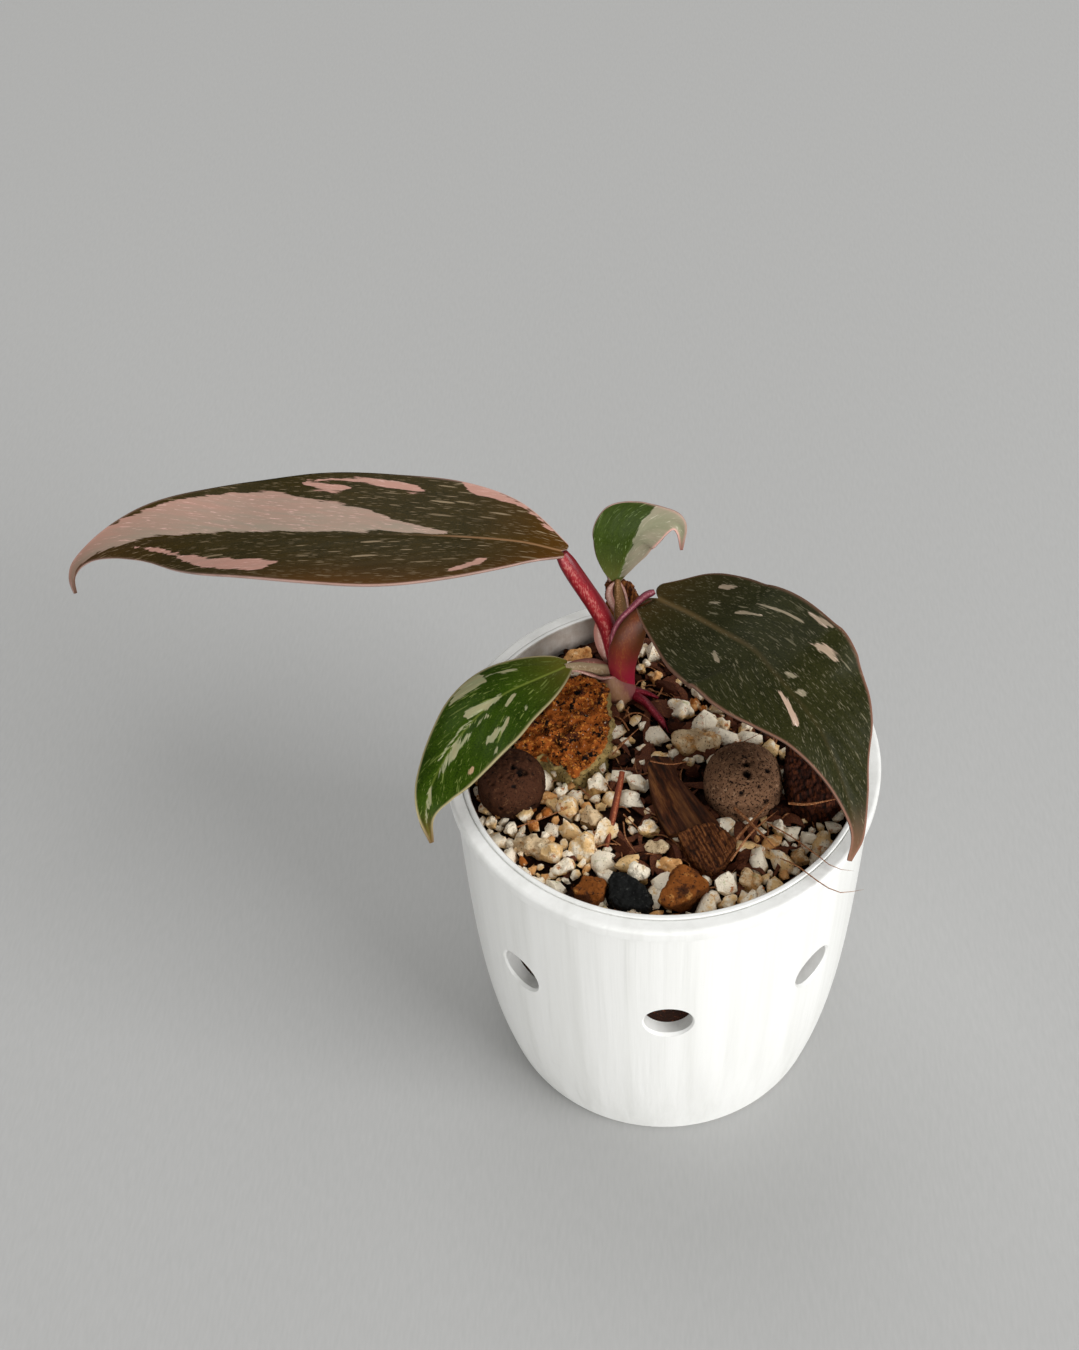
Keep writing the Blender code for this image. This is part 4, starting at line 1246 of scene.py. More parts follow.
@dataclass
class LooseStones:
    """Every stone, ball and chip on the mix, worn from its own CAD solid or from a drawn outline.

    Attributes:
        tan: The pebbles that are tan, not white.
        amber: The pebbles that are amber.
        ball_pits: Pores of the clay balls, as a direction from the middle, radius and depth.
    """

    tan: tuple[str, ...] = ("pumice_02", "pumice_13", "pumice_14", "pumice_17", "pumice_21", "pumice_23")
    amber: tuple[str, ...] = ("pumice_18", "pumice_25", "pumice_26", "pumice_27")
    ball_pits: tuple[tuple[Point, float, float], ...] = (
        ((0.05, -0.38, 0.92), 1.15, 1.2), ((0.02, -0.16, 0.98), 0.7, 0.8), ((0.5, -0.8, 0.35), 0.6, 0.7),
        ((-0.2, -0.95, 0.1), 0.6, 0.7), ((-0.85, -0.4, 0.2), 0.55, 0.6), ((0.55, -0.2, 0.8), 0.5, 0.5),
        ((0.3, -0.6, 0.74), 0.35, 0.4), ((-0.4, -0.5, 0.77), 0.4, 0.4), ((-0.1, -0.75, 0.65), 0.3, 0.4))

    def wear(self, shape: bmesh.types.BMesh, weather: Weather, seed: int, tone: float) -> bmesh.types.BMesh:
        """Strike facets off a shape, then lump and roughen its skin.

        Args:
            shape: The shape, in metres; it is freed.
            weather: How it is worn.
            seed: Seed of the facets and the noise.
            tone: How much it is stained, from -0.3 to 0.3.

        Returns:
            The worn shape, in metres.
        """
        draw = random.Random(seed)
        worn = even_skin(shape, weather.skin)
        low = Vector([min(v.co[i] for v in worn.verts) for i in range(3)])
        high = Vector([max(v.co[i] for v in worn.verts) for i in range(3)])
        middle, half = (low + high) / 2, (high - low) / 2
        strikes = [(Vector([draw.gauss(0, 1) for _ in range(3)]).normalized(),
                    1 - weather.strike * draw.uniform(0.3, 1)) for _ in range(weather.facets)]
        offset = Vector((seed * 3.7, seed * 1.3, 0))
        lump_size = 1.1 * min(half) / MM
        for vertex in worn.verts:
            local = Vector([(c - m) / h for c, m, h in zip(vertex.co, middle, half)]) * weather.grow
            for way, limit in strikes:
                over = local.dot(way) - limit
                if over > 0:
                    local -= way * over * 0.9
            vertex.co = Vector([m + c * h for c, m, h in zip(local, middle, half)])
        worn.normal_update()
        tone_layer = worn.verts.layers.float.new("tone")
        skirt_layer = worn.verts.layers.float.new("skirt")
        moves = []
        for vertex in worn.verts:
            place = vertex.co / MM
            move = weather.lump * 2 * min(half) / MM * noise.noise(place / lump_size + offset)
            move += weather.grit * noise.fractal(place / weather.grit_size + offset, 0.8, 2.2, 3)
            if weather.pits:
                pore = noise.noise(place / (1.2 * weather.grit_size) + offset * 2)
                move -= weather.pits * smoothstep(0.28, 0.5, pore)
            moves.append(move)
        for vertex, move in zip(worn.verts, moves):
            vertex[tone_layer] = tone + 0.12 * smoothstep(0.7, -0.3, vertex.normal.z)
            vertex[skirt_layer] = smoothstep(0.3, -0.05, vertex.normal.z)
            vertex.co += vertex.normal * move * MM
        bmesh.ops.recalc_face_normals(worn, faces=worn.faces)
        return worn

    def ball(self, node: str, seed: int) -> bmesh.types.BMesh:
        """Shape a fired clay ball, a little egg-shaped, with its larger pores pressed in and marked to take painted
        shade.

        Args:
            node: The CAD node that it replaces.
            seed: Seed of its skin and of the turn of its pores.

        Returns:
            The ball, in metres.
        """
        low, high = (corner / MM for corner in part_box(node))
        middle, radius = (low + high) / 2, (high.x - low.x) / 2
        shape = bmesh.new()
        bmesh.ops.create_icosphere(shape, subdivisions=5, radius=radius * MM)
        for vertex in shape.verts:
            way = vertex.co.normalized()
            vertex.co = vertex.co * (1.0 + 0.1 * abs(way.y) + 0.06 * way.z) + middle * MM
        worn = self.wear(shape, BALL, seed, 0.0)
        skirt = worn.verts.layers.float["skirt"]
        turn = Matrix.Rotation(0.9 * seed, 3, "Z")
        for vertex in worn.verts:
            way = (vertex.co / MM - middle).normalized()
            vertex[skirt] = 0.0
            # each pit is pressed in and painted near black through the skirt attribute: painted shade in the pits
            for towards, width, deep in self.ball_pits:
                away = (way - turn @ Vector(towards).normalized()).length * radius
                pit = smoothstep(width, 0.5 * width, away + 0.5 * noise.noise(way * 9))
                vertex.co -= way * deep * pit * MM
                vertex[skirt] = max(vertex[skirt], pit)
        return worn

    def build(self) -> None:
        """Build every stone."""
        built = {kind: kind.value[0].build() for kind in Pebble}
        draw = random.Random(5)
        for number, node in enumerate(sorted(frame["nodes"])):
            if node.startswith("pumice"):
                tone = draw.uniform(-0.2, 0.14)
                kind = Pebble.AMBER if node in self.amber else Pebble.TAN if node in self.tan else Pebble.WHITE
                add_piece(f"stone_{node}", self.wear(node_shape(node), PEBBLE, number, tone),
                          [built[kind]], kind.value[1], [node], 70)
        for seed, (node, finish) in enumerate((("clay_ball_right", CLAY), ("clay_ball_left", CLAY_IN_PAINTED_SHADE))):
            add_piece(f"stone_{node}", self.ball(node, seed), [finish.build()], "clay", [node], 70)
        for number, chunk in enumerate(CHUNKS):
            add_piece(f"stone_{chunk.node}", self.wear(chunk.form(), chunk.weather, 40 + number, 0.0),
                      [chunk.finish.build()], chunk.slot, [chunk.node], 70)


@dataclass(frozen=True)
class Fibre:
    """One loose coir fibre or hair.

    Attributes:
        points: Points of its middle line, in millimetres.
        radius: Its radius, in millimetres.
    """

    points: tuple[Point, ...]
    radius: float = 0.14


@dataclass
class CoirFibres:
    """Loose coir: long fibres where they lie, short ones and flat husk shreds scattered over the mix.

    Attributes:
        mix: The mix that they lie on.
        long_ones: The fibres whose points are given one by one.
        count: How many short ones are scattered.
        shreds: How many flat shreds are scattered.
        start_radius: Radius within which a fibre starts, in millimetres.
        edge_radius: Radius that none passes.
        seed: Seed of the scatter.
    """

    mix: PottingMix
    long_ones: tuple[Fibre, ...] = (
        Fibre(((20, -18.5, 88.6), (24, -21.5, 88.8), (28.5, -26, 89.2), (31.5, -28.5, 88.9),
               (35, -28.8, 88.4)), 0.13),
        Fibre(((22, -25.5, 87.4), (25, -28, 88.4), (28.5, -31.5, 88.7), (32, -33.5, 88.4),
               (36.5, -32.5, 88)), 0.12),
        Fibre(((14, -14.5, 88), (17.5, -19, 88.2), (21.5, -23.5, 87.2)), 0.28),
        Fibre(((12, -23.5, 85.8), (16.5, -18, 87.4), (21, -12.5, 87.8)), 0.3),
        Fibre(((13, -25, 85.6), (17, -20, 87.8), (22, -15, 88)), 0.2),
        Fibre(((24, -14, 89), (27.5, -14.5, 89.4), (33, -13, 89.2)), 0.22),
        Fibre(((-2, -4.5, 89.4), (2, -5.4, 89.6), (6.5, -3.8, 89)), 0.13),
        Fibre(((-27, -19, 87), (-22.5, -17.4, 87.6), (-17, -14, 87)), 0.13),
        Fibre(((-7, -17, 86.4), (-6.4, -21, 86.8), (-4.4, -24, 86)), 0.14),
        Fibre(((-7, -15.5, 86.8), (-4.5, -18.5, 87), (-3.4, -19.4, 86.4)), 0.12),
        Fibre(((-9.5, -1, 87), (-6, 3, 88), (-3.5, 6.5, 87.4)), 0.14),
        Fibre(((12, -5, 87.5), (14, -1.5, 89.8), (20, 1.5, 91.6)), 0.12),
    )
    count: int = 150
    shreds: int = 130
    start_radius: float = 33.0
    edge_radius: float = 36.5
    seed: int = 23

    def lay(self, draw: random.Random, length: Pair, arch: float) -> tuple[Point, ...]:
        """Draw the path of one fibre that lies on the dark part of the mix.

        Args:
            draw: The seeded draw.
            length: Shortest and longest length, in millimetres.
            arch: How high it may arch off the mix.

        Returns:
            Its points, or fewer than four where it would leave the pot or cover the grains.
        """
        angle, reach = draw.uniform(0, 6.28), self.start_radius * math.sqrt(draw.random())
        x, y = reach * math.cos(angle), reach * math.sin(angle)
        if draw.random() < self.mix.grain_chance(x, y) * 0.8:
            return ()
        way, run, bend, points = draw.uniform(0, 6.28), draw.uniform(*length), draw.uniform(-0.8, 0.8), []
        for step in range(4):
            share = step / 3
            a, b = (v + run * share * turn(way + bend * share) for v, turn in ((x, math.cos), (y, math.sin)))
            if math.hypot(a, b) < self.edge_radius:
                points.append((a, b, self.mix.height(a, b) + 0.3 + draw.uniform(0, arch) * math.sin(math.pi * share)))
        return tuple(points)

    def weave(self, name: str, fibres: Sequence[Fibre], flat: float, finish: StalkSkin, slot: str) -> None:
        """Sweep the fibres into one piece.

        Args:
            name: The piece's name.
            fibres: The fibres.
            flat: Their thickness as a share of their width.
            finish: Their finish.
            slot: Their material slot.
        """
        shape = bmesh.new()
        for fibre in fibres:
            sweep(smooth_path(fibre.points, 9),
                  lambda share, angle, r=fibre.radius: (r * math.cos(angle) * (1.1 - share ** 3),
                                                        flat * r * math.sin(angle) * (1.1 - share ** 3)),
                  5, Vector((0, 0, 1)), shape)
        along = shape.verts.layers.float.new("along")
        for vertex in shape.verts:
            vertex[along] = 1.0
        add_piece(name, shape, [finish.build()], slot, (), 60)

    def build(self) -> None:
        """Build the fibres and the shreds."""
        draw = random.Random(self.seed)
        fibres, shreds = list(self.long_ones), []
        for heap, count, length, arch, radius in ((fibres, self.count, (3, 9), 1.6, (0.07, 0.2)),
                                                  (shreds, self.shreds, (4, 11), 1.2, (0.4, 1.3))):
            full = len(heap) + count
            while len(heap) < full:
                points = self.lay(draw, length, arch)
                if len(points) == 4:
                    heap.append(Fibre(points, draw.uniform(*radius)))
        self.weave("coir_fibres", fibres, 1.0, COIR, "twig")
        self.weave("husk_shreds", shreds, 0.35, SHRED, "husk")


# The plant


@dataclass
class Stalk:
    """One stem, leaf stalk, sheath edge, root or twig.

    Attributes:
        name: The CAD node that it replaces, or its own name where it has none.
        slot: Its material slot.
        points: Points of its middle line, in millimetres.
        section: Rows of share of the length, half-width and half-depth, in millimetres.
        finish: Its finish.
        face: The direction that the flat side faces.
        extra: Whether it is a detail without a CAD node.
        foot_share: Share of the length over which the foot's colour fades.
        rings: Rings of its mesh.
        facets: Sides of its mesh.
    """

    name: str
    slot: str
    points: tuple[Point, ...]
    section: tuple[tuple[float, float, float], ...]
    finish: StalkSkin
    face: Point = (0.1, -0.8, 0.6)
    extra: bool = False
    foot_share: float = 0.45
    rings: int = 60
    facets: int = 28

    def outline(self, share: float, angle: float) -> Pair:
        """A point of the section, as sideways and towards the face."""
        return eased(self.section, 1, share) * math.cos(angle), eased(self.section, 2, share) * math.sin(angle)

    def build(self) -> None:
        """Build the stalk."""
        path = smooth_path(self.points, self.rings)
        shape = sweep(path, self.outline, self.facets, Vector(self.face))
        along_layer, side_layer = (shape.verts.layers.float.new(name) for name in ("along", "side"))
        last = len(path) - 1
        for vertex in shape.verts:
            near = min(range(last + 1), key=lambda i: (path[i] * MM - vertex.co).length_squared)
            run = (path[min(near + 1, last)] - path[max(near - 1, 0)]).normalized()
            side = Vector(self.face).cross(run).normalized()
            wide = eased(self.section, 1, near / last)
            vertex[along_layer] = smoothstep(0.0, self.foot_share, near / last)
            vertex[side_layer] = max(-1.0, min(1.0, (vertex.co / MM - path[near]).dot(side) / max(wide, 0.1)))
        add_piece(f"grown_{self.name}", shape, [self.finish.build()], self.slot,
                  () if self.extra else (self.name,), 60)


@dataclass(frozen=True)
class Patch:
    """A sector of a leaf without green.

    Attributes:
        outline: Its corners, as shares of the length and of the half-width (left is positive).
        flush: How pink it is at the midrib and at the margin; past 1 it is pink all over.
        lift: How far the sector is swollen beyond its corners, in millimetres.
    """

    outline: tuple[Pair, ...]
    flush: Pair = (0.5, 0.5)
    lift: float = 0.0


@dataclass
class Leaf:
    """One leaf blade.

    Attributes:
        node: The CAD node that it replaces.
        slot: Its material slot.
        spine: The midrib from base to tip, in millimetres.
        face: Which way the upper side looks at the base.
        stations: Rows of share of the length, half-width to the left and to the right as seen from
            the base, turn of the blade about the midrib in degrees, and how far each half lifts at
            its edge, in degrees.
        lobe: How far the two base corners reach back past the stalk, in millimetres.
        wave: Height in millimetres, and count, of the waves along the edge.
        finish: Finish of its upper side.
        back: Finish of its underside.
        patches: Its sectors without green.
        tint: Rows of share of the length, strength of the warm tint and how much stronger it is at
            the left edge.
        rib: Rows of share of the length and strength of the midrib's line.
        dusk: Rows of share of the length and strength of the dark tip.
        thickness: Thickness of the blade, in millimetres.
        groove: Depth and half-width of the groove along the midrib.
        vein_spacing: Distance between side veins along the midrib.
        vein_lean: How far a side vein runs towards the tip for each millimetre away from the
            midrib, and how much that grows.
        rim_width: Width of the coloured margin.
        rim_rows: Rows of share of the length and strength of the margin's colour, left and right.
        cuts: Grid cuts along and across.
    """

    node: str
    slot: str
    spine: tuple[Point, ...]
    face: Point
    stations: tuple[tuple[float, float, float, float, float, float], ...]
    lobe: Pair
    wave: Pair
    finish: LeafSkin
    back: LeafBack
    patches: tuple[Patch, ...] = ()
    tint: tuple[Point, ...] = ((0, 0.8, 0), (0.12, 0.25, 0), (0.3, 0, 0), (0.9, 0, 0), (1, 0.7, 0))
    rib: tuple[Pair, ...] = ((0.0, 0.8), (0.3, 0.4), (1.0, 0.2))
    dusk: tuple[Pair, ...] = ((0.0, 0.0), (0.85, 0.0), (1.0, 0.8))
    thickness: float = 0.45
    groove: Pair = (0.25, 0.7)
    vein_spacing: float = 2.4
    vein_lean: Pair = (2.0, 0.05)
    rim_width: float = 0.3
    rim_rows: tuple[Point, ...] = ((0.0, 1.0, 1.0), (1.0, 1.0, 1.0))
    cuts: tuple[int, int] = (200, 64)

    def sectors(self, length: float) -> list[tuple[list[Pair], Patch]]:
        """Turn each patch's corners into millimetres along and across the midrib.

        Args:
            length: Length of the midrib, in millimetres.

        Returns:
            The corners of each patch, with the patch.
        """
        result = []
        for patch in self.patches:
            corners = [(along * length, across * eased(self.stations, 1 if across > 0 else 2, along))
                       for along, across in patch.outline]
            result.append((corners, patch))
        return result

    def depth_in(self, corners: list[Pair], x: float, y: float) -> float:
        """Measure how deep a point lies inside a sector.

        Args:
            corners: The sector's corners, in millimetres along and across the midrib.
            x: The point's place along the midrib.
            y: Its place across.

        Returns:
            The distance to the sector's edge, in millimetres, negative outside it.
        """
        nearest, inside = 99.0, False
        for (ax, ay), (bx, by) in zip(corners, corners[1:] + corners[:1]):
            dx, dy = bx - ax, by - ay
            t = min(max(((x - ax) * dx + (y - ay) * dy) / (dx * dx + dy * dy + 1e-9), 0.0), 1.0)
            nearest = min(nearest, math.hypot(x - ax - t * dx, y - ay - t * dy))
            if (ay > y) != (by > y) and x < ax + (y - ay) * dx / (by - ay):
                inside = not inside
        return nearest if inside else -nearest

    def blade(self) -> bmesh.types.BMesh:
        """Lay a fine grid along the midrib and mark where each part of the pattern lies.

        Returns:
            The upper side of the blade, in metres.
        """
        along_cuts, across_cuts = self.cuts
        spine = smooth_path(self.spine, along_cuts + 1)
        length = sum((b - a).length for a, b in zip(spine, spine[1:]))
        sectors = self.sectors(length)
        face = Vector(self.face).normalized()
        shape = bmesh.new()
        bmesh.ops.create_grid(shape, x_segments=along_cuts, y_segments=across_cuts, size=1.0)
        layers = {name: shape.verts.layers.float.new(name) for name in LEAF_FIELDS}
        flat = {}
        stretch = math.hypot(1.0, self.vein_lean[0])
        for vertex in shape.verts:
            step = round((vertex.co.x + 1) / 2 * along_cuts)
            across = math.copysign(abs(vertex.co.y) ** 0.85, vertex.co.y)
            along = step / along_cuts
            tangent = (spine[min(step + 1, along_cuts)] - spine[max(step - 1, 0)]).normalized()
            left = face.cross(tangent).normalized()
            left.rotate(Matrix.Rotation(math.radians(eased(self.stations, 3, along)), 3, tangent))
            up = tangent.cross(left)
            side = 1 if across >= 0 else 2
            half = max(eased(self.stations, side, along), 0.15)
            lift = math.radians(eased(self.stations, side + 3, along)) * abs(across)
            sideways = left if across >= 0 else -left
            reach = half * abs(across)
            round_off = 1 - ((abs(across) - 0.7) / 0.7) ** 2
            lobe = self.lobe[side - 1] * round_off * max(0.0, 1 - along / 0.25) ** 2
            height, count = self.wave
            wave = height * across ** 2 * math.sin(2 * math.pi * count * along + side) * math.sin(math.pi * along)
            deep, wide = self.groove
            groove = deep * math.exp(-(reach / wide) ** 2) * smoothstep(0, 0.05, along) * smoothstep(1, 0.8, along)
            start = along * length - self.vein_lean[0] * reach - self.vein_lean[1] * reach ** 2 - lobe
            start /= stretch
            quilt = 0.03 * math.cos(2 * math.pi * start / self.vein_spacing) * min(reach / 3, 1) * (1 - across ** 4)
            vertex.co = (spine[step] + sideways * reach * math.cos(lift)
                         + up * (reach * math.sin(lift) + wave - groove + quilt) - tangent * lobe) * MM
            place = (along * length - lobe, math.copysign(reach, across))
            depth, flush = -9.0, (0.5, 0.5)
            for corners, patch in sectors:
                here = self.depth_in(corners, *place) + patch.lift
                if here > depth:
                    depth, flush = here, patch.flush
            vertex[layers["sector"]] = min(max(depth / 2, -1.0), 1.0)
            vertex[layers["flush"]] = flush[0] + (flush[1] - flush[0]) * abs(across)
            for name, rows in (("tint", self.tint), ("rib", self.rib), ("dusk", self.dusk)):
                vertex[layers[name]] = max(eased(rows, 1, along), 0.0)
            vertex[layers["tint"]] += max(eased(self.tint, 2, along), 0.0) * max(across, 0.0) ** 3
            vertex[layers["margin"]] = (
                smoothstep(self.rim_width + 0.3, self.rim_width - 0.2, half - reach)
                * max(eased(self.rim_rows, side, along), 0.0))
            flat[vertex] = (place, (start, place[1] * stretch))
        for number, name in enumerate(("blade", "veins")):
            uv = shape.loops.layers.uv.new(name)
            for corner in shape.faces:
                for loop in corner.loops:
                    loop[uv].uv = Vector(flat[loop.vert][number]) * MM
        bmesh.ops.recalc_face_normals(shape, faces=shape.faces)
        step = along_cuts // 2
        middle = min(shape.faces, key=lambda f: (f.calc_center_median() - spine[step] * MM).length)
        tangent = (spine[step + 1] - spine[step - 1]).normalized()
        if middle.normal.dot(tangent.cross(face.cross(tangent))) < 0:
            bmesh.ops.reverse_faces(shape, faces=shape.faces)
        return shape

    def build(self) -> None:
        """Build the blade and give it its thickness."""
        rim = LeafBack(f"{self.finish.name}_edge", 0.5, self.finish.rim, self.finish.deep)
        leaf = add_piece(f"grown_{self.node}", self.blade(), [self.finish.build(), self.back.build(), rim.build()],
                         self.slot, [self.node], 80)
        thick = leaf.modifiers.new("thickness", "SOLIDIFY")
        thick.thickness = self.thickness * MM
        thick.offset = -1.0
        thick.use_even_offset = True
        thick.material_offset = 1
        thick.material_offset_rim = 2


# The studio


@dataclass
class Studio:
    """The plain paper floor, the soft lights and the camera.

    Attributes:
        eye: Where the camera stands, in millimetres.
        pitch: How far it looks down, in degrees.
        yaw: How far it is turned to the left of +Y.
        roll: Its roll.
        lens: Focal length, in millimetres.
        sensor: Longer side of the sensor.
        paper: Half the width of the paper floor.
        sky: Colour of the air.
        sky_strength: Its strength.
    """

    eye: Point = (0.0, -188.855, 314.986)
    pitch: float = 47.29
    yaw: float = -6.85
    roll: float = -4.68
    lens: float = 40.0
    sensor: float = 36.0
    paper: float = 6000.0
    sky: str = "#F4F4F2"
    sky_strength: float = 0.43

    def floor(self) -> None:
        """Lay the paper."""
        shape = bmesh.new()
        bmesh.ops.create_grid(shape, x_segments=8, y_segments=8, size=self.paper * MM)
        add_piece("paper_floor", shape, [PAPER.build()], None)

    def light(self, name: str, place: Point, size: Pair, watts: float, aim: Point = (0, 0, 60)) -> None:
        """Hang one soft box.

        Args:
            name: Its name.
            place: Where it hangs, in millimetres.
            size: Its width and height, in millimetres.
            watts: Its power.
            aim: Where it points.
        """
        lamp = bpy.data.lights.new(name, "AREA")
        lamp.shape = "RECTANGLE"
        lamp.size, lamp.size_y = size[0] * MM, size[1] * MM
        lamp.energy = watts
        item = bpy.data.objects.new(name, lamp)
        item.location = Vector(place) * MM
        item.rotation_euler = (Vector(aim) - Vector(place)).to_track_quat("-Z", "Y").to_euler()
        bpy.context.scene.collection.objects.link(item)

    def camera(self) -> None:
        """Stand the camera where the photograph was taken from."""
        pitch, yaw, roll = (math.radians(a) for a in (self.pitch, self.yaw, self.roll))
        ahead = Vector((math.sin(yaw) * math.cos(pitch), math.cos(yaw) * math.cos(pitch), -math.sin(pitch)))
        level = Vector((math.cos(yaw), -math.sin(yaw), 0))
        top = level.cross(ahead)
        right = level * math.cos(roll) + top * math.sin(roll)
        up = top * math.cos(roll) - level * math.sin(roll)
        lens = bpy.data.cameras.new("camera")
        lens.lens = self.lens
        lens.sensor_width = self.sensor
        lens.clip_start = 0.01
        camera = bpy.data.objects.new("camera", lens)
        camera.matrix_world = Matrix.Translation(Vector(self.eye) * MM) @ Matrix(
            (right, up, -ahead)).transposed().to_4x4()
        bpy.context.scene.collection.objects.link(camera)
        bpy.context.scene.camera = camera

    def build(self) -> None:
        """Build the floor, lights, sky and camera."""
        self.floor()
        self.light("key_softbox", (2300, -1200, 1300), (1700, 1700), 66.0)
        self.light("front_fill", (0, -2600, 320), (2600, 600), 32.0)
        self.light("top_softbox", (-400, 1100, 2300), (1500, 1500), 19.0)
        world = bpy.data.worlds.new("studio_air")
        world.use_nodes = True
        sky = world.node_tree.nodes["Background"].inputs
        sky["Color"].default_value = linear(self.sky)
        sky["Strength"].default_value = self.sky_strength
        bpy.context.scene.world = world
        bpy.context.scene.view_settings.view_transform = "Standard"
        self.camera()


# Living stalks: a thin wax gloss, darker at the edges as painted shade, with fine pale pores crowded along the middle
# as a painted highlight.
CRIMSON = StalkSkin("petiole_crimson_waxy", 0.3, "#96222A", "#6A0C18", "#CC8478", "#8E162A", 0.28, 0.5)
SHEATH = StalkSkin("petiole_sheath_rusty", 0.4, "#743410", "#4E2A0C", "#9A5A28", "#A0183A", 0.3, 0.35)
YOUNG = StalkSkin("petiole_young_brown", 0.45, "#8A6238", "#6A4A22", "#C89A70", "#7A4A2A")
FRESH = StalkSkin("petiole_pale_green", 0.45, "#9C8262", "#A89474", "#C8B89A", "#A0806A")
BLUSH = StalkSkin("sheath_edge_blush", 0.4, "#C49A8C", "#A87468", "#E0C0B4", "#A86A60")
PLUM = StalkSkin("sheath_ridge_plum", 0.35, "#8C4450", "#6A2C3A", "#B87880", "#7E1830")
CROWN = StalkSkin("crown_swollen", 0.45, "#A67A58", "#844A48", "#B88C78", "#6A3A2A", 0.5, 0.3)
ROOT = StalkSkin("aerial_root_red", 0.3, "#7E0E22", "#4E0814", "#A84050", "#7E1028")

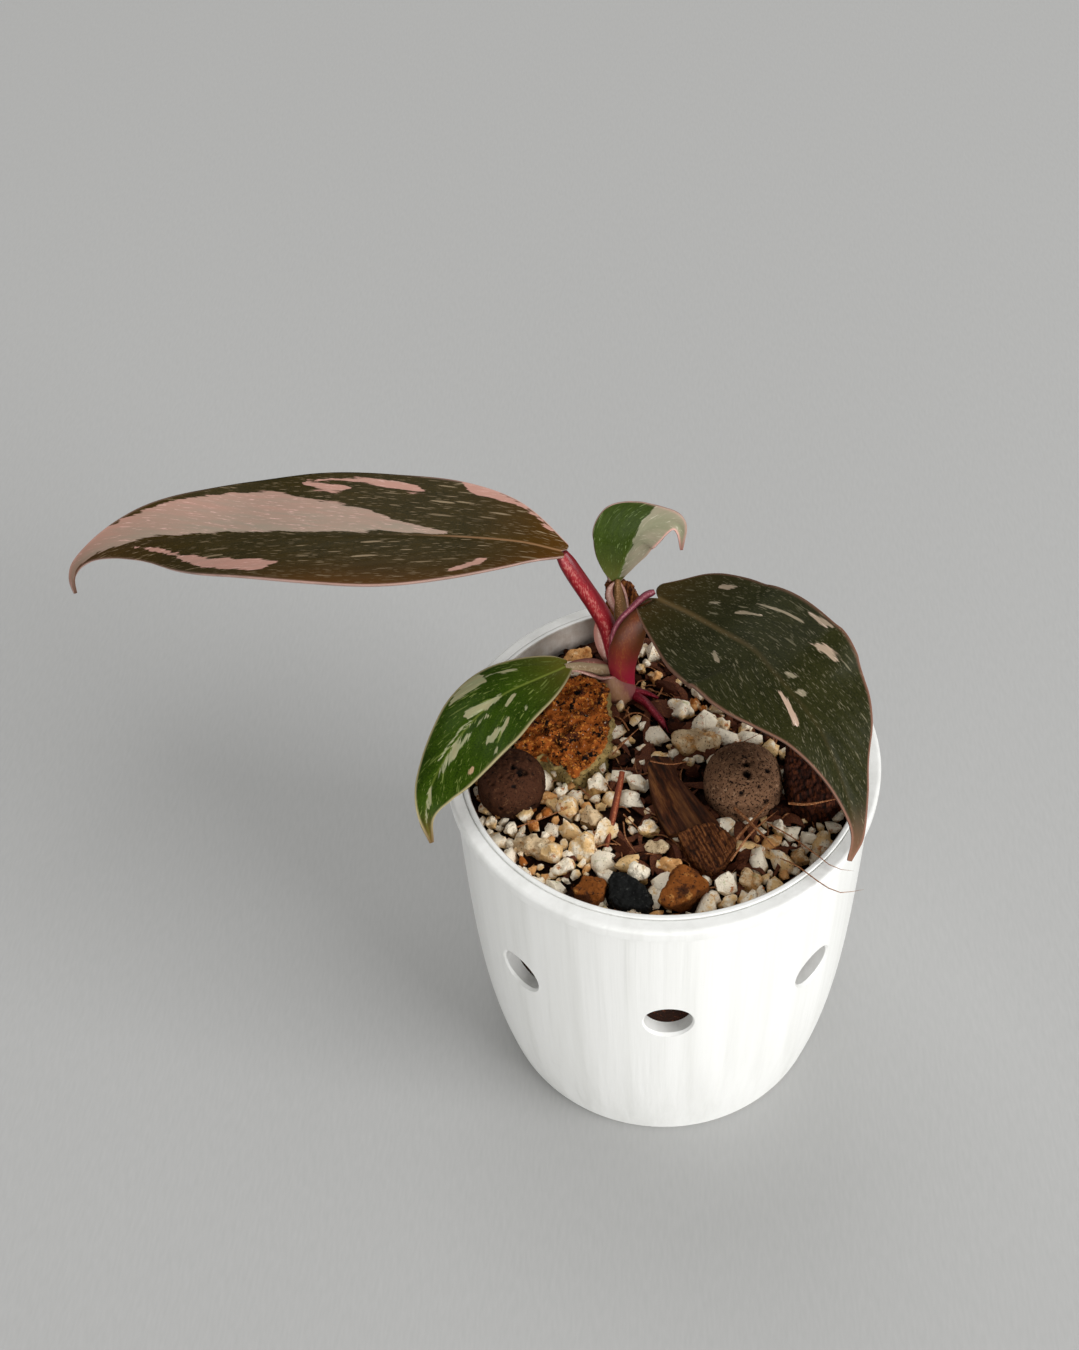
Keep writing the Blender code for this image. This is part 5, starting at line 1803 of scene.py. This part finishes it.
STALKS = (
    Stalk("stem", "crown", ((-8.3, 20.4, 64), (-8.3, 20, 74), (-7.6, 18.4, 80), (-8.2, 17.6, 83.5), (-9.3, 17.4, 87),
        (-10, 17.6, 89.6)), ((0, 1.6, 1.6), (0.4, 2, 2), (0.6, 2.3, 2.2), (0.66, 2.9, 2.6), (0.78, 3.5, 2.4),
        (0.9, 3.3, 1.6), (1, 2.4, 0.8)), CROWN),
    Stalk("petiole_1", "petiole_red", ((-9.6, 20.8, 88), (-10, 21.7, 94.6), (-11, 22.5, 99.4), (-12.8, 23, 103.8),
        (-14.7, 23.5, 107.5), (-16.9, 24, 111.7), (-19.4, 24.8, 116.6)), ((0, 1.7, 1.3), (0.3, 1.9, 1.5),
        (0.7, 1.85, 1.5), (0.92, 1.7, 1.3), (1, 1.3, 0.8)), CRIMSON),
    Stalk("petiole_2", "petiole_rust", ((-7.2, 18.6, 83.6), (-7.9, 18.5, 89.3), (-7.8, 18.8, 93.4), (-7, 19.2, 97.3),
        (-5.8, 20, 100.6), (-4.4, 20.9, 102.8), (-2.6, 22, 104.2), (-0.8, 23.2, 104.9)), ((0, 1.9, 1.5),
        (0.2, 2.5, 1.6), (0.4, 3, 1.5), (0.6, 3.2, 1.3), (0.8, 2.4, 1), (1, 1.2, 0.6)), SHEATH, foot_share=0.7),
    Stalk("petiole_2_ridge", "petiole_rust", ((-10.2, 19, 93.5), (-10, 19.4, 97.5), (-9.4, 20, 100.4),
        (-8.1, 20.8, 102.8), (-6, 21.8, 104.8), (-3.4, 22.9, 107.1), (-1.4, 23.7, 107.6)), ((0, 0.3, 0.3),
        (0.3, 0.5, 0.5), (0.7, 0.6, 0.55), (0.95, 0.75, 0.7), (1, 0.5, 0.4)), PLUM, extra=True),
    Stalk("petiole_1_sheath", "petiole_pink", ((-13, 22.2, 101.4), (-12.6, 21.6, 97.1), (-11.9, 21, 94.3),
        (-10.8, 20.3, 90.6)), ((0, 0.15, 0.1), (0.3, 0.95, 0.25), (0.7, 1.1, 0.3), (1, 0.6, 0.3)), BLUSH, extra=True),
    Stalk("petiole_3", "petiole_brown", ((-7.6, 23.2, 91), (-8, 24.8, 97.2), (-8.4, 27.2, 99.6), (-8.8, 29.7, 101.2),
        (-9, 32, 102.8)), ((0, 0.9, 0.8), (0.35, 1.5, 0.9), (0.65, 1.3, 0.8), (0.9, 0.8, 0.6), (1, 0.6, 0.5)), YOUNG),
    Stalk("petiole_3_left_wing", "petiole_pink", ((-8.8, 25.8, 98.2), (-9.9, 27.4, 100.2), (-10.6, 29, 101.2),
        (-10.4, 30.6, 102), (-9.3, 31.8, 102.6)), ((0, 0.3, 0.15), (0.4, 0.75, 0.18), (0.7, 0.65, 0.18),
        (1, 0.2, 0.15)), BLUSH, extra=True),
    Stalk("petiole_3_right_edge", "petiole_pink", ((-6.9, 25.6, 97.8), (-6.9, 27.2, 99.3), (-7.2, 29, 100.6),
        (-7.8, 30.6, 101.7), (-8.7, 31.8, 102.6)), ((0, 0.25, 0.2), (0.5, 0.32, 0.25), (1, 0.25, 0.2)), BLUSH,
        extra=True),
    Stalk("petiole_4", "petiole_pink", ((-9.8, 18.9, 86.8), (-11.4, 18.4, 90.2), (-13.6, 17.2, 92.4),
        (-16.4, 15.7, 94.5), (-19.2, 14.2, 95.8)), ((0, 1.8, 1), (0.3, 1.4, 0.8), (0.6, 1.1, 0.7), (0.85, 0.85, 0.65),
        (1, 0.7, 0.5)), FRESH, face=(-0.4, -0.6, 0.7)),
    Stalk("petiole_4_wing", "petiole_pink", ((-9.6, 19.2, 89), (-12, 18.4, 91.6), (-14.4, 17.2, 94),
        (-16.9, 16, 95.2), (-18.8, 14.8, 95.8)), ((0, 0.8, 0.3), (0.4, 1.1, 0.3), (0.75, 0.7, 0.25), (1, 0.3, 0.2)),
        StalkSkin("petiole_wing_brown_pink", 0.45, "#8E5A4A", "#6E4238", "#C09080", "#7E3A38"), extra=True),
    Stalk("petiole_4_edge", "petiole_pink", ((-7.8, 17.6, 89), (-10, 17, 89.8), (-12.2, 16.2, 90.4),
        (-14.4, 15.4, 92.4), (-16.7, 14.7, 94.2), (-18.8, 14.2, 95)), ((0, 0.2, 0.2), (0.4, 0.36, 0.3),
        (1, 0.25, 0.2)), BLUSH, extra=True),
    Stalk("aerial_root", "root_red", ((-5.9, 17.7, 84), (-3.3, 15, 84.6), (-1.5, 12.5, 84.4), (0.4, 10.2, 83.6),
        (2.4, 8.2, 81)), ((0, 1, 1), (0.3, 0.9, 0.9), (0.7, 0.8, 0.8), (1, 0.6, 0.6)), ROOT),
    Stalk("root_stub", "root_red", ((-6.6, 18.2, 84.6), (-4.6, 17.9, 84.6), (-2.6, 17.4, 84.4), (-0.6, 16.8, 83.8)),
        ((0, 1, 1), (0.5, 0.7, 0.7), (1, 0.3, 0.3)), ROOT, extra=True),
    Stalk("twig", "twig", ((-7.4, -6.2, 88), (-8.6, -13, 86.2), (-10.2, -20.4, 82.8)), ((0, 0.55, 0.5),
        (0.5, 0.7, 0.6), (1, 0.5, 0.5)), StalkSkin("twig_dry", 0.6, "#8A3E1E", "#5E2410", "#B07048", "#7A3418")),
    Stalk("rim_twig", "twig", ((-19, 37.6, 84), (-17.4, 37.4, 84.2), (-15.6, 37, 83.6), (-13.4, 36, 82.6)),
        ((0, 0.3, 0.3), (0.5, 0.5, 0.45), (1, 0.5, 0.4)),
        StalkSkin("twig_dark", 0.7, "#2E2A22", "#1E1812", "#5A5040", "#2A2018"), extra=True),
)

LEAF_1_PATCHES = (
    # the half-moon on the far side, from the midrib out to the margin near the tip
    Patch(((0.21, -0.04), (0.257, -0.13), (0.312, -0.25), (0.335, -0.32), (0.374, -0.45), (0.436, -0.53),
        (0.468, -0.58), (0.507, -0.665), (0.553, -0.76), (0.592, -0.8), (0.647, -0.84), (0.7, -0.86), (0.76, -0.87),
        (0.8, -0.86), (0.85, -0.9), (0.9, -1.4), (1, -2), (1, 1.5), (0.93, 0.6), (0.88, 0.05), (0.75, -0.05),
        (0.6, -0.05), (0.4, -0.04), (0.3, -0.03)), (0.1, 0.75)),
    Patch(((0.499, 0.57), (0.524, 0.75), (0.546, 0.81), (0.592, 0.84), (0.647, 0.825), (0.7, 0.73), (0.72, 0.62),
        (0.768, 0.48), (0.81, 0.33), (0.78, 0.35), (0.725, 0.5), (0.686, 0.54), (0.647, 0.58), (0.577, 0.58),
        (0.538, 0.57)), (0.9, 0.9)),
    Patch(((0.131, 0.61), (0.144, 0.59), (0.164, 0.66), (0.195, 0.765), (0.199, 0.85), (0.183, 0.84), (0.156, 0.8),
        (0.14, 0.75)), (0.9, 0.9)),
    Patch(((0.253, -0.72), (0.277, -0.73), (0.31, -0.775), (0.343, -0.8), (0.374, -0.84), (0.42, -0.88),
        (0.468, -0.89), (0.436, -0.91), (0.374, -0.925), (0.31, -0.92), (0.292, -0.88), (0.273, -0.81)), (0.9, 0.9)),
    Patch(((0.4, -0.755), (0.413, -0.69), (0.436, -0.69), (0.452, -0.73), (0.468, -0.75), (0.499, -0.86),
        (0.491, -0.89), (0.46, -0.84), (0.436, -0.8), (0.42, -0.82), (0.405, -0.8)), (0.9, 0.9)),
    Patch(((0.12, -0.84), (0.14, -0.83), (0.163, -0.81), (0.18, -0.885), (0.195, -1), (0.16, -1.1), (0.05, -1.1),
        (0.02, -1), (0.05, -0.92), (0.09, -0.92)), (1, 1)),
)

LEAF_2_PATCHES = (
    Patch(((0.513, -0.13), (0.54, -0.14), (0.57, -0.18), (0.6, -0.27), (0.62, -0.33), (0.622, -0.42), (0.615, -0.5),
        (0.596, -0.42), (0.57, -0.3), (0.54, -0.22), (0.517, -0.17)), (1.6, 1.6), -0.1),
    Patch(((0.442, 0.585), (0.465, 0.65), (0.487, 0.7), (0.517, 0.75), (0.551, 0.787), (0.555, 0.765), (0.536, 0.68),
        (0.51, 0.64), (0.487, 0.6), (0.465, 0.61)), (0.6, 0.6), -0.05),
    Patch(((0.487, 0.107), (0.4985, 0.163), (0.5225, 0.207), (0.52, 0.135), (0.51, 0.09), (0.495, 0.07)), (0, 0),
        0.1),
    Patch(((0.54, 0.075), (0.555, 0.14), (0.573, 0.15), (0.565, 0.09), (0.55, 0.065)), (0, 0), 0.1),
    Patch(((0.268, 0.375), (0.29, 0.42), (0.335, 0.49), (0.31, 0.445), (0.28, 0.38)), (0.1, 0.1), 0.15),
    Patch(((0.3, 0.62), (0.34, 0.665), (0.4, 0.735), (0.35, 0.655), (0.32, 0.615)), (0.1, 0.1), 0.15),
    Patch(((0.147, 0.76), (0.165, 0.76), (0.195, 0.79), (0.175, 0.71), (0.15, 0.71)), (0.4, 0.4), 0.2),
    Patch(((0.398, 0.9), (0.43, 0.94), (0.443, 0.955), (0.42, 0.89)), (0.4, 0.4), 0.25),
    Patch(((0.297, -0.295), (0.315, -0.33), (0.345, -0.42), (0.335, -0.435), (0.31, -0.365)), (0.1, 0.1), 0.15),
    Patch(((0.165, 0.33), (0.185, 0.4), (0.2, 0.42), (0.19, 0.35)), (0.1, 0.1), 0.15),
)

LEAF_3_PATCHES = (
    Patch(((0.02, -0.3), (0.1, -0.02), (0.2, -0.05), (0.3, -0.05), (0.4, 0.02), (0.46, 0.12), (0.52, 0.3),
        (0.58, 0.55), (0.64, 1.2), (1, 2), (1, -2), (0.5, -1.6), (0.1, -1.6)), (0, 0.35)),
)

LEAF_4_PATCHES = (
    Patch(((0.325, -0.955), (0.326, -0.73), (0.336, -0.59), (0.372, -0.6), (0.396, -0.635), (0.42, -0.69),
        (0.451, -0.74), (0.485, -0.86), (0.46, -0.9), (0.396, -0.94), (0.34, -0.98)), (0.1, 0.1), 0.1),
    Patch(((0.209, -0.55), (0.235, -0.54), (0.26, -0.57), (0.285, -0.67), (0.325, -0.7), (0.33, -0.76), (0.3, -0.74),
        (0.27, -0.68), (0.235, -0.62)), (0.1, 0.1), 0.1),
    Patch(((0.32, -0.03), (0.37, 0.05), (0.43, 0), (0.46, -0.02), (0.475, -0.08), (0.5, -0.12), (0.498, -0.25),
        (0.483, -0.32), (0.455, -0.28), (0.42, -0.2), (0.38, -0.1), (0.33, -0.06)), (0.1, 0.1), 0.1),
    Patch(((0.388, 0.46), (0.41, 0.55), (0.44, 0.61), (0.48, 0.635), (0.525, 0.65), (0.54, 0.56), (0.515, 0.47),
        (0.48, 0.51), (0.44, 0.52)), (0.1, 0.1), 0.1),
    Patch(((0.268, 0.55), (0.28, 0.65), (0.295, 0.66), (0.29, 0.58), (0.275, 0.55)), (0.1, 0.1), 0.15),
    Patch(((0.285, 0.16), (0.31, 0.21), (0.355, 0.265), (0.33, 0.2), (0.3, 0.165)), (0.1, 0.1), 0.15),
    Patch(((0.53, 0.82), (0.55, 0.89), (0.57, 0.88), (0.545, 0.82)), (0.1, 0.1), 0.15),
    Patch(((0.65, 0.71), (0.665, 0.775), (0.678, 0.72), (0.66, 0.66)), (0.8, 0.8), 0.1),
    # thin pale lines that run beside the midrib to the tip
    Patch(((0.44, 0.13), (0.6, 0.16), (0.72, 0.13), (0.6, 0.145)), (0, 0), 0.15),
    Patch(((0.5, 0.02), (0.7, 0.05), (0.92, 0.08), (0.7, 0.03)), (0, 0), 0.15),
    Patch(((0.55, 0.1), (0.65, 0.07), (0.86, 0.17), (0.65, 0.1)), (0, 0), 0.12),
    Patch(((0.46, -0.02), (0.55, -0.12), (0.69, -0.17), (0.55, -0.1)), (0, 0), 0.12),
)

LEAVES = (
    Leaf("leaf_1", "leaf_olive", ((-19.6, 25.2, 117.2), (-27.5, 25.5, 119.5), (-41.5, 25.5, 121), (-56, 25.5, 121.5),
        (-71, 26, 121), (-86, 27.5, 119.5), (-98, 28.5, 118), (-106, 28.5, 116.5), (-113, 28, 114.5),
        (-117.8, 27, 112), (-119.5, 25.5, 109.5), (-119.2, 24, 106.5)), (0, -0.1, 1), ((0, 1.4, 2, 0, 5, 5),
        (0.03, 3.3, 4.6, 0, 5, 5), (0.1, 7.6, 10.2, 0, 5, 5), (0.2, 11.6, 13.8, 0, 5, 5),
        (0.32, 13.8, 14.8, 0, 5, 5), (0.45, 13.5, 14.8, 0, 5, 5), (0.6, 11.9, 13.4, 0, 5, 5),
        (0.7, 8.8, 10.6, -8, 5, 5), (0.8, 4.3, 6.8, -22, 5, 5), (0.9, 1.3, 2.4, -35, 5, 5),
        (0.96, 0.7, 0.8, -35, 0, 0), (1, 0.3, 0.3, -35, 0, 0)), (0.8, 1.4), (0.5, 2), LeafSkin("leaf_1_waxy_olive",
        0.38, "#231F05", "#3A2E0C", "#62380C", "#988A7A", "#B4887A", "#D6AEA4", "#D0A89C", "#8A785E", "#8E6A48",
        "#4A2E20", 0.4, ((0.8, 3, 0.84), (0.45, 1.1, 0.76), (0.3, 0.42, 0.64)), 0.08), LeafBack("leaf_1_back", 0.6),
        LEAF_1_PATCHES, vein_lean=(4.6, 0.05), rib=((0, 1), (0.18, 0.8), (0.26, 0.2), (0.4, 0), (1, 0)),
        tint=((0, 0.5, 0.3), (0.1, 0.15, 0.3), (0.2, 0, 0.4), (0.4, 0, 0.6), (0.6, 0, 0.1), (0.9, 0, 0), (1, 0.6, 0)),
        rim_width=0.15, dusk=((0, 0), (0.65, 0), (0.8, 0.2), (0.92, 0.45), (1, 0.9)), rim_rows=((0, 0.5, 1),
        (0.1, 0.5, 1), (0.22, 0.8, 0.6), (0.3, 0.8, 0.1), (0.45, 0.8, 0), (0.6, 0.3, 0), (0.8, 0.2, 0.3),
        (1, 0.5, 0.5))),
    Leaf("leaf_2", "leaf_dark", ((-0.7, 23.2, 106.3), (4.9, 15.8, 110), (10.7, 8.2, 113), (16.6, 2.4, 114),
        (20.1, -3.1, 114), (23.9, -8, 112.5), (27.7, -12.4, 110), (30.7, -16.7, 106), (33.6, -21.6, 100),
        (35, -25.6, 95), (34, -28.5, 91)), (0.1, -0.1, 1), ((0, 3.4, 3.6, 15, 5, 5), (0.03, 5.2, 5.2, 15, 5, 5),
        (0.1, 9.4, 8, 15, 5, 5), (0.2, 12.3, 10.9, 14, 5, 5), (0.3, 13.3, 13.6, 10, 5, 5),
        (0.4, 14.4, 15.3, 6, 5, 5), (0.5, 15.6, 13.4, 2, 5, 5), (0.6, 14.8, 9.2, -6, 5, 0),
        (0.7, 11.4, 6, -12, 5, -5), (0.8, 6.8, 3.2, -16, 0, -10), (0.9, 2.8, 1.2, -15, 0, -5),
        (0.96, 1.1, 0.7, -15, 0, 0), (1, 0.4, 0.4, -15, 0, 0)), (3, 4), (0.6, 2.5), LeafSkin("leaf_2_waxy_dark",
        0.36, "#1B1D09", "#303016", "#4A3A1C", "#857C66", "#B49A86", "#E0C8BA", "#8A6252", "#6C6650", "#6E5A3A",
        "#8A6450", 0.9, ((0.6, 1.7, 0.85), (0.36, 0.6, 0.7), (0.26, 0.34, 0.56)), 0.06), LeafBack("leaf_2_back", 0.6),
        LEAF_2_PATCHES, vein_lean=(2.2, 0.05), rib=((0, 0.9), (0.2, 0.6), (0.45, 0.15), (1, 0.1)),
        rim_rows=((0, 0.5, 0.7), (0.3, 0.5, 0.8), (0.6, 1, 0.8), (0.9, 1, 0.9), (1, 1, 1))),
    Leaf("leaf_3", "leaf_green", ((-8.9, 32.3, 102.9), (-7.9, 32.9, 105.5), (-6.6, 33.9, 109.2), (-5.2, 34.6, 112.4),
        (-2.8, 35.2, 114.2), (0.2, 35.5, 115), (2.7, 35.5, 114.8), (3.9, 35, 113), (3.9, 34.2, 109)),
        (0.1, -0.8, 0.5), ((0, 1.2, 0.7, 0, 10, 10), (0.05, 3.4, 1.1, 0, 10, 10), (0.15, 5.8, 2.2, 0, 10, 10),
        (0.3, 7.9, 3.8, 0, 10, 10), (0.42, 8.7, 4.2, 0, 10, 10), (0.5, 6.8, 4.1, 0, 10, 10),
        (0.6, 4.3, 3.4, 0, 10, 10), (0.72, 2.5, 1.5, 0, 10, 10), (0.84, 1, 1, 0, 5, 5), (1, 0.3, 0.3, 0, 0, 0)),
        (1, 0.4), (0, 1), LeafSkin("leaf_3_waxy_green", 0.42, "#2A370E", "#3C4C16", "#6E7038", "#8C8B70", "#B09C8C",
        "#BAB29C", "#D8A89C", "#6A7A48", "#5A6A34", "#8A5A50", 0.4, ((0.35, 0.6, 0.8), (0.25, 0.3, 0.76))),
        LeafBack("leaf_3_back", 0.6), LEAF_3_PATCHES, rim_rows=((0, 0, 0), (0.3, 0, 0.3), (0.5, 0, 1), (0.7, 0.3, 1),
        (1, 0.8, 0.8)), cuts=(140, 48)),
    Leaf("leaf_4", "leaf_bright", ((-19.1, 14.1, 96.1), (-23.5, 8.6, 99), (-29.9, 2.5, 101), (-34.2, -3.1, 101.5),
        (-37.6, -8.4, 101), (-40.6, -13.3, 99), (-42.9, -17.4, 96), (-43.8, -20.5, 92), (-42.9, -23, 87)),
        (-0.1, -0.1, 1), ((0, 1.2, 1.6, -20, 5, 0), (0.03, 2.2, 3.2, -20, 5, 0), (0.1, 4, 5, -20, 5, -5),
        (0.2, 6.2, 6.4, -20, 5, -10), (0.32, 8, 7.4, -20, 5, -15), (0.45, 8.9, 7.4, -20, 5, -20),
        (0.58, 8.4, 6, -20, 5, -20), (0.7, 7, 4.6, -20, 5, -20), (0.8, 4.7, 3.1, -20, 5, -15),
        (0.9, 1.7, 1.4, -20, 5, -5), (1, 0.4, 0.4, -20, 0, 0)), (1.2, 1.6), (0.4, 2),
        LeafSkin("leaf_4_waxy_bright", 0.36, "#1A2B03", "#34490A", "#6E6826", "#8C8E6C", "#AE8C6C", "#A2A480",
        "#A69A72", "#6E7A3C", "#84903E", "#5A3A20", 0.35, ((0.5, 4.4, 0.72), (0.35, 1.6, 0.72), (0.3, 0.4, 0.72)),
        0.05), LeafBack("leaf_4_back", 0.6), LEAF_4_PATCHES, cuts=(160, 56), vein_lean=(2.4, 0.05)),
)


def main() -> None:
    """Build the pot, the mix, the plant and the studio, in that order."""
    logging.basicConfig(level=logging.INFO, format="%(message)s")
    Pot().build()
    mix = PottingMix()
    mix.build()
    LooseStones().build()
    CoirFibres(mix).build()
    for stalk in STALKS:
        stalk.build()
    for leaf in LEAVES:
        leaf.build()
    Studio().build()
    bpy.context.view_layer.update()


if __name__ == "__main__":
    main()
